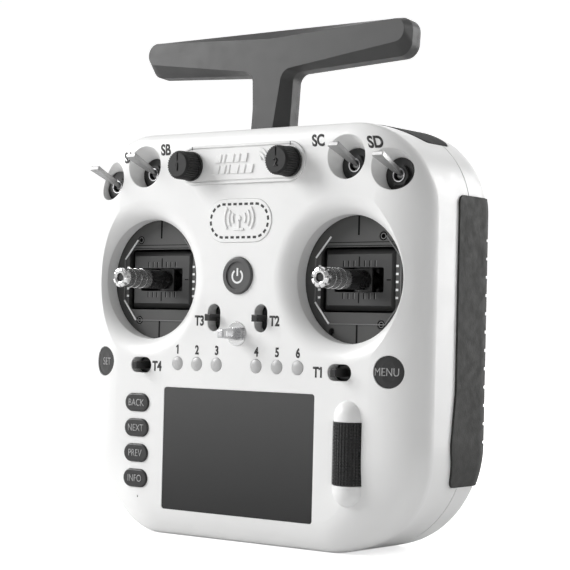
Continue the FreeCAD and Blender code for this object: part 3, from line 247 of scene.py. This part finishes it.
PRESET_BUTTONS = ["preset_button_%d" % number for number in range(1, 7)]
TRIM_LEVERS = ["trim_lever_%d" % number for number in range(1, 5)]
SWITCH_LEVERS = ["switch_lever_" + letter for letter in "abcd"]
NODE_MATERIALS = {
    "case_white": ["front_shell", "rear_shell", "knob_panel", "badge_plate"],
    "antenna_grey": ["antenna_front_cover", "antenna_rear_cover", "module_cover", "battery_door"],
    "shoulder_dark": ["left_shoulder_button", "right_shoulder_button"],
    "grip_rubber": ["left_grip", "right_grip"],
    "gimbal_grey": ["gimbal_plates"],
    "gimbal_dark": ["gimbal_frames", "trim_brackets", "wheel_carrier"],
    "yoke_grey": ["left_gimbal_yoke", "right_gimbal_yoke"],
    "shaft_black": ["left_stick", "right_stick"],
    "line_black": ["gimbal_screws"],
    "black": ["switch_plates", "switch_nuts", "switch_bodies", "lcd_module"] + TRIM_LEVERS,
    "button_dark": ["set_button", "menu_button", "back_button", "next_button", "prev_button",
                    "info_button"],
    "button_grey": ["power_button"],
    "preset_pale": PRESET_BUTTONS,
    "knob_rubber": ["left_knob", "right_knob"],
    "chrome": ["lanyard_seat"],
    "tip_metal": ["left_stick_tip", "right_stick_tip"],
    "dark_metal": SWITCH_LEVERS,
    "steel": ["lanyard_hook", "shell_screws", "knob_pots", "usb_port", "antenna_hinge_pin"],
    "screen": ["screen_lens"],
    "roller_black": ["scroll_wheel"],
    "board": ["circuit_boards"],
    "cell_wrap": ["battery_cells"],
}


def paint_nodes():
    for material, names in NODE_MATERIALS.items():
        for name in names:
            mesh = NODES[name].data
            mesh.materials.clear()
            mesh.materials.append(MATERIALS[material])


# ---- making pieces ------------------------------------------------------------------------
def centre(node):
    low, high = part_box(node)
    return (low + high) / 2


def place(name, mesh, material, body):
    piece = bpy.data.objects.new(name, mesh)
    bpy.context.scene.collection.objects.link(piece)
    mesh.materials.clear()
    mesh.materials.append(MATERIALS[material])
    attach(piece, body)
    return piece


def mesh_from(form, name):
    mesh = bpy.data.meshes.new(name)
    bmesh.ops.recalc_face_normals(form, faces=form.faces)
    form.to_mesh(mesh)
    form.free()
    return mesh


def prisms(name, outlines, face, lift, material, body, round_edge=0.0, root=ROOT_DEPTH):
    """Solid shapes that rise from a front face by lift: each outline is a list of (x, z) in metres."""
    form = bmesh.new()
    for outline in outlines:
        front = [form.verts.new((x, face - lift, z)) for x, z in outline]
        back = [form.verts.new((x, face + root, z)) for x, z in outline]
        form.faces.new(front)
        form.faces.new(list(reversed(back)))
        count = len(outline)
        for index in range(count):
            following = (index + 1) % count
            form.faces.new((front[index], back[index], back[following], front[following]))
    piece = place(name, mesh_from(form, name), material, body)
    if round_edge:
        bevel = piece.modifiers.new("soft_edges", "BEVEL")
        bevel.width = round_edge
        bevel.segments = 2
        bevel.limit_method = "ANGLE"


def bar(x0, z0, x1, z1, width):
    """Outline of a straight bar between two points."""
    run = Vector((x1 - x0, z1 - z0)).normalized() * width / 2
    return [(x0 - run.y, z0 + run.x), (x0 + run.y, z0 - run.x), (x1 + run.y, z1 - run.x),
            (x1 - run.y, z1 + run.x)]


def stroke(spot, start, end, width):
    """Outline of a bar between two (x, z) points that are given in mm from a spot; width in mm."""
    return bar(spot.x + start[0] * MM, spot.z + start[1] * MM, spot.x + end[0] * MM,
               spot.z + end[1] * MM, width * MM)


def disc(x, z, radius, steps=20):
    turns = [2 * math.pi * step / steps for step in range(steps)]
    return [(x + radius * math.cos(turn), z + radius * math.sin(turn)) for turn in turns]


def arc_band(x, z, radius, width, first, last, steps=24):
    """Outline of a curved band between two angles in degrees."""
    turns = [math.radians(first + (last - first) * step / steps) for step in range(steps + 1)]
    near, far = radius - width / 2, radius + width / 2
    inner = [(x + near * math.cos(turn), z + near * math.sin(turn)) for turn in turns]
    outer = [(x + far * math.cos(turn), z + far * math.sin(turn)) for turn in turns]
    return inner + outer[::-1]


def ring_halves(x, z, radius, width):
    """A whole ring as two half bands, since an outline has no hole."""
    return [arc_band(x, z, radius, width, first, first + 180) for first in (0, 180)]


def revolved(name, profile, around, axis, relief, material, body):
    """Solid of revolution whose side carries a relief: profile is [(length, radius, relief share)]."""
    form = bmesh.new()
    rings = []
    for length, radius, share in profile:
        ring = []
        for step in range(around):
            turn = 2 * math.pi * step / around
            reach = radius - share * relief(step, length)
            across = (reach * math.cos(turn), reach * math.sin(turn))
            ring.append(form.verts.new(axis(length, across)))
        rings.append(ring)
    for near, far in zip(rings, rings[1:]):
        for step in range(around):
            following = (step + 1) % around
            form.faces.new((near[step], near[following], far[following], far[step]))
    form.faces.new(rings[0])
    form.faces.new(rings[-1][::-1])
    return place(name, mesh_from(form, name), material, body)


# ---- lettering ----------------------------------------------------------------------------
CAPITAL_SHARE = 0.72
LEGEND_STEP = 1.2 * MM
RAY_START_Y = -0.2
FRONT_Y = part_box("screen_lens")[0].y - 0.1 * MM


def add_flag(form, corner, height):
    """The short stroke that starts a figure 1, which the font draws as a plain bar."""
    right, top = corner.x, corner.y
    near, far, thick = 0.12 * height, 0.36 * height, 0.17 * height
    spots = [(right - near, top), (right - far, top - thick), (right - far, top - 2 * thick),
             (right - near, top - thick)]
    form.faces.new([form.verts.new((x, y, 0)) for x, y in spots])


def text_form(words, height, squeeze, bold):
    """Bold condensed lettering as a flat mesh centred on the origin in X and Y."""
    curve = bpy.data.curves.new("legend", "FONT")
    curve.body = words
    curve.size = height / CAPITAL_SHARE
    curve.offset = bold * curve.size
    curve.align_x = "CENTER"
    curve.align_y = "CENTER"
    curve.resolution_u = 6
    holder = bpy.data.objects.new("legend", curve)
    bpy.context.scene.collection.objects.link(holder)
    bpy.context.view_layer.update()
    mesh = bpy.data.meshes.new_from_object(holder)
    bpy.data.objects.remove(holder)
    form = bmesh.new()
    form.from_mesh(mesh)
    bmesh.ops.scale(form, vec=(squeeze, 1, 1), verts=form.verts)
    low = Vector((min(v.co.x for v in form.verts), min(v.co.y for v in form.verts), 0))
    high = Vector((max(v.co.x for v in form.verts), max(v.co.y for v in form.verts), 0))
    bmesh.ops.translate(form, vec=-(low + high) / 2, verts=form.verts)
    if words.endswith("1"):
        add_flag(form, (high - low) / 2, height)
    return form


def surface_of(node):
    mesh = NODES[node].data
    return BVHTree.FromPolygons([v.co for v in mesh.vertices], [p.vertices for p in mesh.polygons])


def surface_y(surface, x, z):
    """Y of the first face met by a ray that comes from the front, or the case's front beside it."""
    spot = surface.ray_cast(Vector((x, RAY_START_Y, z)), Vector((0, 1, 0)))[0]
    return spot.y if spot else FRONT_Y


def legend(name, words, x, z, height, surface, material, body, squeeze=0.8, bold=0.034,
           thick=0.05, lean=0.0):
    """Lettering laid on the surface behind it: thick in mm, and lean tips its tops to the left."""
    form = text_form(words, height, squeeze, bold)
    long_edges = [edge for edge in form.edges if edge.calc_length() > LEGEND_STEP]
    bmesh.ops.subdivide_edges(form, edges=long_edges, cuts=3)
    for vert in form.verts:
        spot_x, spot_z = x + vert.co.x - lean * vert.co.y, z + vert.co.y
        vert.co = (spot_x, surface_y(surface, spot_x, spot_z) - PRINT_LIFT, spot_z)
    outline = bmesh.ops.extrude_face_region(form, geom=form.faces[:])
    raised = [item for item in outline["geom"] if isinstance(item, bmesh.types.BMVert)]
    bmesh.ops.translate(form, vec=(0, -thick * MM, 0), verts=raised)
    place(name, mesh_from(form, name), material, body)


# Where each label stands from the middle of its lever, right and up in mm; switch labels also lean
SWITCH_LABELS = {"a": (11.1, 8.4, 0.3), "b": (11.0, 6.4, 0.2), "c": (-13.3, 6.6, 0.25),
                 "d": (-7.8, 9.3, 0.42)}
TRIM_LABELS = {1: (-10.1, -0.1), 2: (6.7, -0.9), 3: (-7.5, -1.3), 4: (8.5, -0.2)}
PRESET_LABEL_RISE = 5.6 * MM
SWITCH_LETTERS, TRIM_LETTERS, PRESET_FIGURES = 4.5 * MM, 3.9 * MM, 3.5 * MM
ROUND_BUTTON_LETTERS, OVAL_BUTTON_LETTERS = 3.1 * MM, 2.9 * MM


def print_labels():
    shell = surface_of("front_shell")
    for letter, (right, up, lean) in SWITCH_LABELS.items():
        spot = centre("switch_lever_" + letter)
        legend("label_switch_" + letter, "S" + letter.upper(), spot.x + right * MM, spot.z + up * MM,
               SWITCH_LETTERS, shell, "ink_dark", "case", lean=lean)
    for number, (right, up) in TRIM_LABELS.items():
        spot = centre("trim_lever_%d" % number)
        legend("label_trim_%d" % number, "T%d" % number, spot.x + right * MM, spot.z + up * MM,
               TRIM_LETTERS, shell, "ink_dark", "case")
    for number, node in enumerate(PRESET_BUTTONS, 1):
        spot = centre(node)
        legend("label_preset_%d" % number, str(number), spot.x, spot.z + PRESET_LABEL_RISE,
               PRESET_FIGURES, shell, "ink_dark", "case")


def button_legends():
    for word in ("set", "menu", "back", "next", "prev", "info"):
        node = word + "_button"
        spot = centre(node)
        height = ROUND_BUTTON_LETTERS if word in ("set", "menu") else OVAL_BUTTON_LETTERS
        legend("legend_" + word, word.upper(), spot.x, spot.z, height, surface_of(node), "ink_light",
               node, squeeze=0.82, bold=-0.004)


def knob_marks():
    for name, number in (("left", "1"), ("right", "2")):
        node = name + "_knob"
        spot = centre(node)
        legend(name + "_knob_number", number, spot.x, spot.z - 0.8 * MM, 3.2 * MM, surface_of(node),
               "knob_rubber", node, squeeze=0.9, bold=0.01, thick=0.25)


# ---- symbols and embossed panels ----------------------------------------------------------
POWER_DISH_DEPTH = 0.5 * MM
RIB_HEIGHT, RIB_LEAN, RIB_GAP = 3.4 * MM, 0.8 * MM, 0.9 * MM


def power_symbol():
    spot = centre("power_button")
    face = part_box("power_button")[0].y + POWER_DISH_DEPTH
    ring = arc_band(spot.x, spot.z - 0.3 * MM, 2.5 * MM, 0.75 * MM, 125, 415)
    prisms("power_symbol", [ring, stroke(spot, (0, -0.2), (0, 2.9), 0.75)], face, 0.12 * MM, "ink_white",
           "power_button")


def slanted(x, z, width):
    """Outline of one rib of the knob panel, from its lower left corner."""
    return [(x, z), (x + width, z), (x + width + RIB_LEAN, z + RIB_HEIGHT), (x + RIB_LEAN, z + RIB_HEIGHT)]


def knob_panel_relief():
    """Two rows of slanted ribs between the knobs and three signal arcs at their right end."""
    spot, front = centre("knob_panel"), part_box("knob_panel")[0].y
    ribs = []
    rows = ((-12.2, 0.5, (2.6, 1.2, 3.4, 2.0, 2.8)), (-13.5, -3.9, (3.0, 2.2, 1.2, 3.6, 2.4, 3.0)))
    for start, base, widths in rows:
        x = spot.x + start * MM
        for width in widths:
            ribs.append(slanted(x, spot.z + base * MM, width * MM))
            x += width * MM + RIB_GAP
    prisms("panel_ribs", ribs, front, EMBOSS_HEIGHT, "case_white", "case",
           round_edge=0.12 * MM)
    arcs = [arc_band(spot.x + 9.0 * MM, spot.z + 0.6 * MM, radius * MM, 0.7 * MM, 10, 80)
            for radius in (1.8, 3.4, 5.0)]
    prisms("panel_arcs", arcs, front, EMBOSS_HEIGHT, "case_white", "case",
           round_edge=0.1 * MM)
    ticks = [stroke(centre(node), (0, 6.5), (0, 7.9), 0.35) for node in ("left_knob", "right_knob")]
    prisms("panel_ticks", ticks, front, 0.05 * MM, "ink_dark", "case")


def stadium_point(distance, straight, radius):
    """Point and direction angle at a distance along a stadium that is longer in X."""
    bend = math.pi * radius
    lap = [(2 * straight, "top"), (bend, "right"), (2 * straight, "low"), (bend, "left")]
    for length, part in lap:
        if distance <= length:
            break
        distance -= length
    if part == "top":
        return -straight + distance, radius, 0.0
    if part == "low":
        return straight - distance, -radius, math.pi
    turn = distance / radius
    side = 1 if part == "right" else -1
    x = side * (straight + radius * math.sin(turn))
    z = side * radius * math.cos(turn)
    return x, z, -turn if part == "right" else math.pi - turn


def badge_relief():
    """Dashed border and an embossed aerial with signal arcs."""
    spot, front = centre("badge_plate"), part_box("badge_plate")[0].y
    half_width, radius = 14.3 * MM, 6.5 * MM
    straight = half_width - radius
    length = 4 * straight + 2 * math.pi * radius
    count, dash, thickness = 26, 1.65 * MM, 0.95 * MM
    dashes = []
    for number in range(count):
        x, z, turn = stadium_point(length * number / count, straight, radius)
        reach = Vector((math.cos(turn), math.sin(turn))) * dash / 2
        dashes.append(bar(spot.x + x - reach.x, spot.z + z - reach.y, spot.x + x + reach.x,
                          spot.z + z + reach.y, thickness))
    prisms("badge_dashes", dashes, front, 0.06 * MM, "ink_dark", "case")
    line, aerial_z = 0.9, spot.z + 1.0 * MM
    relief = [stroke(spot, (0, -3.2), (0, 0.4), line), stroke(spot, (-2.4, -3.4), (2.4, -3.4), line),
              disc(spot.x, aerial_z, 1.1 * MM)]
    for start in (-35, 145):
        for radius in (3.2, 5.2, 7.2):
            relief.append(arc_band(spot.x, aerial_z, radius * MM, line * MM, start, start + 70))
    prisms("badge_relief", relief, front, EMBOSS_HEIGHT, "case_white", "case",
           round_edge=0.12 * MM)


# ---- gimbals ------------------------------------------------------------------------------
# Marks on the yoke and the plate of a gimbal, in mm from the gimbal's middle
TICK_PITCH, TICK_NEAR, TICK_FAR, MIDDLE_TICK_FAR = 2.42, 5.0, 7.3, 8.8
SIDE_TICK_NEAR, SIDE_TICK_FAR = 12.6, 14.5
# GLINT_SHIFT is how far right of its tick each painted highlight strip sits
GLINT_SHIFT = 0.5
DOT_REACH, DOT_HALF, DOT_PITCH, DOT_DROP = 17.85, 0.55, 2.97, 0.8
OCTAGON = [(-12.7, 16.4), (-19.6, 8.4), (-19.6, -8.6), (-12.9, -16.8), (12.9, -16.8), (19.6, -8.6),
           (19.6, 8.4), (12.7, 16.4)]
# Octagon sides given a painted highlight in white ink: the two left diagonals, which face the light
HIGHLIGHT_SIDES = (0, 2)
SCRIBED_RISES, SCRIBED_LEFT, SCRIBED_RIGHT = (12.9, 14.2), -15.5, 17.0
NOTCH_NEAR, NOTCH_FAR = 16.9, 24.2

# Screw heads of the gimbals: the lower pair sits nearer the middle
SCREW_HEAD = 1.65 * MM
LOWER_SCREW_SHARE = 1.1


def yoke_marks(name):
    """Ticks on the tilting yoke, drawn black as painted shade in their grooves, each with a painted
    highlight strip beside it for the lit edge.
    """
    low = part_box(name + "_gimbal_yoke")[0]
    spot = centre(name + "_gimbal_yoke")
    ticks, glints = [], []
    for side in SIDES:
        near, far = side * TICK_NEAR, side * TICK_FAR
        ticks.append(stroke(spot, (0, near), (0, side * MIDDLE_TICK_FAR), 0.5))
        for step in (-3, -2, -1, 1, 2, 3):
            x = step * TICK_PITCH
            ticks.append(stroke(spot, (x, near), (x, far), 0.45))
            glints.append(stroke(spot, (x + GLINT_SHIFT, near), (x + GLINT_SHIFT, far), 0.4))
        ticks.append(stroke(spot, (side * SIDE_TICK_NEAR, 0), (side * SIDE_TICK_FAR, 0), 0.45))
    # The black strips are painted shade in the engraved ticks; the grey strips beside them are painted
    # highlights
    prisms(name + "_yoke_ticks", ticks, low.y, 0.05 * MM, "line_black", name + "_yoke")
    prisms(name + "_yoke_glints", glints, low.y, 0.05 * MM, "mark_grey", name + "_yoke")


def plate_marks(name):
    """White dots, an octagon with a painted highlight on its two left sides, and scribed lines drawn black
    as painted shade in their grooves, on the gimbal's plate.
    """
    spot, face = centre(name + "_gimbal_yoke"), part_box("gimbal_plates")[0].y
    dots, octagon, side_highlights = [], [], []
    for side in SIDES:
        for step in range(-2, 3):
            x, z = side * DOT_REACH, step * DOT_PITCH - DOT_DROP
            dots.append(stroke(spot, (x - DOT_HALF, z), (x + DOT_HALF, z), 0.85))
    for number, (start, end) in enumerate(zip(OCTAGON, OCTAGON[1:])):
        if number in HIGHLIGHT_SIDES:
            side_highlights.append(stroke(spot, start, end, 0.6))
        else:
            octagon.append(stroke(spot, start, end, 0.4))
    scribed = [stroke(spot, (SCRIBED_LEFT, z), (SCRIBED_RIGHT, z), 0.26) for z in SCRIBED_RISES]
    scribed += [stroke(spot, (0, end * NOTCH_NEAR), (0, end * NOTCH_FAR), 0.8) for end in SIDES]
    prisms(name + "_gimbal_dots", dots, face, 0.12 * MM, "ink_white", "case")
    prisms(name + "_gimbal_octagon", octagon, face, 0.35 * MM, "mark_grey", "case")
    # The white ink here is a painted highlight on the two left octagon sides
    prisms(name + "_gimbal_glint", side_highlights, face, 0.35 * MM, "ink_white", "case")
    # The black of the scribed lines is painted shade standing in for their grooves
    prisms(name + "_plate_lines", scribed, face, 0.02 * MM, "line_black", "case")


def screw_faces():
    """Bright ring round the socket of every gimbal screw."""
    low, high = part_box("gimbal_screws")
    upper = (high.x - SCREW_HEAD, high.z - SCREW_HEAD)
    lower = (high.x - LOWER_SCREW_SHARE * SCREW_HEAD, low.z + SCREW_HEAD)
    rings = []
    for side in SIDES:
        for x, z in (upper, lower):
            rings += ring_halves(side * x, z, 1.05 * MM, 0.34 * MM)
    prisms("screw_rings", rings, low.y, 0.03 * MM, "mark_grey", "case", root=0.05 * MM)


def stick_end(name):
    """Metal stick end: a bright crown of teeth round a socket darkened with a black disc of painted shade,
    a knurled sleeve, lock rings.
    """
    low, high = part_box(name + "_stick_tip")
    spot = (low + high) / 2
    radius, total = (high.x - low.x) / 2, high.y - low.y
    body = name + "_stick_set"
    around, notch_every, notch_width, notch_depth = 72, 9, 2, 0.24 * radius
    crown, half_pitch, tooth = 2.9 * MM, 0.4 * MM, 0.2 * MM

    def axis(along, across):
        return spot.x + across[0], low.y + along, spot.z + across[1]

    def notch(step, length):
        return notch_depth if step % notch_every < notch_width else 0.0

    def knurl(step, length):
        row = int(round(length / half_pitch))
        return tooth if (step // 2 + row) % 2 else 0.0

    profile = [(1.6, 0.1, 0), (1.6, 0.34, 0), (0.3, 0.44, 0), (0.0, 0.58, 0), (0.0, 0.66, 0),
               (0.25, 0.9, 1), (0.7, 1.0, 1), (2.6, 1.0, 1), (2.9, 0.9, 0), (3.1, 0.5, 0)]
    shape = [(along * MM, share * radius, relief) for along, share, relief in profile]
    revolved(name + "_stick_crown", shape, around, axis, notch, "chrome", body)
    # A black disc inside the bore is painted shade that darkens the deep socket
    socket = [disc(spot.x, spot.z, 0.33 * radius)]
    prisms(name + "_stick_socket_shade", socket, low.y + 0.8 * MM, 0.0, "black", body,
           root=0.7 * MM)
    shape = [(crown, 0.5 * radius, 0), (crown, 0.9 * radius, 0)]
    length = crown + half_pitch
    while length < total - half_pitch:
        shape.append((length, 0.985 * radius, 1))
        length += half_pitch
    shape.append((total, 0.93 * radius, 0))
    sleeve = revolved(name + "_stick_sleeve", shape, around, axis, knurl, "tip_metal", body)
    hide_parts(name + "_stick_tip")
    for number, start in enumerate((5.4 * MM, 8.8 * MM, 12.2 * MM), 1):
        band = [(start, 0.9 * radius, 0), (start + 0.1 * MM, 1.01 * radius, 0),
                (start + 0.5 * MM, 1.01 * radius, 0), (start + 0.6 * MM, 0.9 * radius, 0)]
        revolved("%s_stick_ring_%d" % (name, number), band, around, axis, notch, "chrome", body)


# ---- roller and switches ------------------------------------------------------------------
def roller_knurl():
    """Scroll roller covered in a grid of small square pads."""
    low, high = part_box("scroll_wheel")
    spot = (low + high) / 2
    radius = (high.x - low.x) / 2
    axle, shoulder, edge_drop, pad_drop, groove = 1.0 * MM, 1.6 * MM, 0.35 * MM, 0.03 * MM, 0.45 * MM
    columns, rows, steps_in_column, groove_steps = 30, 19, 5, 2
    first, last = low.z + shoulder, high.z - shoulder
    pad = (last - first) / rows

    def grid(step, length):
        in_row = ((length - first) / pad) % 1.0
        between_columns = step % steps_in_column < groove_steps
        between_rows = in_row < 0.14 or in_row > 0.9
        return groove if between_columns or between_rows else 0.0

    def axis(along, across):
        return spot.x + across[0], spot.y + across[1], along

    shape = [(low.z, axle, 0), (first, axle, 0), (first, radius - edge_drop, 0)]
    for row in range(rows):
        for share in (0.0, 0.16, 0.5, 0.86):
            shape.append((first + (row + share) * pad, radius - pad_drop, 1))
    shape += [(last, radius - edge_drop, 0), (last, axle, 0), (high.z, axle, 0)]
    piece = revolved("roller_knurl", shape, columns * steps_in_column, axis, grid, "roller_black",
                     "roller")
    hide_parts("scroll_wheel")


def switch_rings():
    """Bright rim of each switch's bushing, whose middle is a hub radius above the lever's low end."""
    face, hub_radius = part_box("switch_bodies")[0].y, 1.6 * MM
    rings = []
    for node in SWITCH_LEVERS:
        hub_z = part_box(node)[0].z + hub_radius
        rings += ring_halves(centre(node).x, hub_z, 2.4 * MM, 0.42 * MM)
    prisms("switch_rings", rings, face, 0.1 * MM, "steel", "case")


# ---- stage --------------------------------------------------------------------------------
CAMERA_PLACE = Vector((0.4255, -0.5534, 0.0821))
CAMERA_YAW, CAMERA_PITCH, CAMERA_ROLL = 37.4, 1.58, 1.40
CAMERA_LENS = 109.8
LIGHT_TARGET = Vector((0, 0, 0.09))

# The floor is flat as far as FLOOR_FLAT and then rises with the square of the distance
FLOOR_RADII = (0.3, 0.8, 1.5, 2.2, 3.0, 3.8, 4.5, 5.0)
FLOOR_FLAT, FLOOR_CURVE = 1.5, 0.32
FLOOR_GLOW = 0.7

# Lights: name, place, width and height in metres, and power in watts
LIGHTS = (
    ("key_left", (-1.31, -0.79, 0.84), (0.9, 0.9), 27.5),
    ("side_right", (0.70, 1.32, 0.5), (0.5, 1.0), 13),
    ("low_front", (-0.3, -1.4, 0.10), (1.2, 0.15), 0.5),
    ("top", (0.0, 0.1, 1.5), (1.4, 1.2), 3.6),
    ("back", (-0.5, 1.4, 0.7), (1.2, 1.0), 6),
)
SKY_STRENGTH = 0.31


def add_camera():
    yaw, pitch, roll = (math.radians(angle) for angle in (CAMERA_YAW, CAMERA_PITCH, CAMERA_ROLL))
    ahead = Vector((-math.sin(yaw) * math.cos(pitch), math.cos(yaw) * math.cos(pitch), math.sin(pitch)))
    level = Vector((math.cos(yaw), math.sin(yaw), 0))
    upright = level.cross(ahead)
    right = level * math.cos(roll) + upright * math.sin(roll)
    up = upright * math.cos(roll) - level * math.sin(roll)
    data = bpy.data.cameras.new("camera")
    data.lens = CAMERA_LENS
    data.sensor_width = 36
    data.clip_start = 0.01
    camera = bpy.data.objects.new("camera", data)
    turn = Matrix((right, up, -ahead)).transposed().to_4x4()
    camera.matrix_world = Matrix.Translation(CAMERA_PLACE) @ turn
    bpy.context.scene.collection.objects.link(camera)
    bpy.context.scene.camera = camera


def floor_mesh(around=96):
    form = bmesh.new()
    rings = []
    for radius in FLOOR_RADII:
        rise = max(0.0, radius - FLOOR_FLAT)
        height = FLOOR_CURVE * rise * rise
        turns = [2 * math.pi * step / around for step in range(around)]
        rings.append([form.verts.new((radius * math.cos(turn), radius * math.sin(turn), height))
                      for turn in turns])
    form.faces.new(rings[0])
    for near, far in zip(rings, rings[1:]):
        for step in range(around):
            following = (step + 1) % around
            form.faces.new((near[step], far[step], far[following], near[following]))
    mesh = bpy.data.meshes.new("floor")
    form.to_mesh(mesh)
    form.free()
    mesh.shade_smooth()
    return mesh


def floor_material():
    """Pale paint that glows only towards the camera, so that it looks near white but adds no light."""
    material, tree, shader, coords = start_material("floor_paint")
    tone = add_noise(tree, coords, scale=3)
    tree.links.new(add_mix(tree, tone, grey(0.79), grey(0.81)), shader.inputs["Base Color"])
    shader.inputs["Roughness"].default_value = 0.8
    seen = tree.nodes.new("ShaderNodeLightPath")
    glow = tree.nodes.new("ShaderNodeMath")
    glow.operation = "MULTIPLY"
    glow.inputs[1].default_value = FLOOR_GLOW
    tree.links.new(seen.outputs["Is Camera Ray"], glow.inputs[0])
    tree.links.new(glow.outputs["Value"], shader.inputs["Emission Strength"])
    shader.inputs["Emission Color"].default_value = (1, 1, 1, 1)
    return material


def add_floor():
    """Pale round floor that curves up far away, so that no horizon shows."""
    mesh = floor_mesh()
    mesh.materials.append(floor_material())
    floor = bpy.data.objects.new("floor", mesh)
    bpy.context.scene.collection.objects.link(floor)


def add_area_light(name, place_at, size, power):
    data = bpy.data.lights.new(name, "AREA")
    data.shape = "RECTANGLE"
    data.size, data.size_y = size
    data.energy = power
    light = bpy.data.objects.new(name, data)
    light.location = place_at
    light.rotation_euler = (LIGHT_TARGET - light.location).to_track_quat("-Z", "Y").to_euler()
    bpy.context.scene.collection.objects.link(light)


def add_lights():
    for name, place_at, size, power in LIGHTS:
        add_area_light(name, place_at, size, power)
    world = bpy.data.worlds.new("studio")
    world.use_nodes = True
    world.node_tree.nodes["Background"].inputs["Color"].default_value = (1, 1, 1, 1)
    world.node_tree.nodes["Background"].inputs["Strength"].default_value = SKY_STRENGTH
    bpy.context.scene.world = world
    bpy.context.scene.view_settings.view_transform = "Standard"


# ---- the scene ----------------------------------------------------------------------------
paint_nodes()
print_labels()
button_legends()
power_symbol()
knob_panel_relief()
badge_relief()
for side_name in ("left", "right"):
    yoke_marks(side_name)
    plate_marks(side_name)
    stick_end(side_name)
screw_faces()
roller_knurl()
switch_rings()
knob_marks()
add_camera()
add_floor()
add_lights()
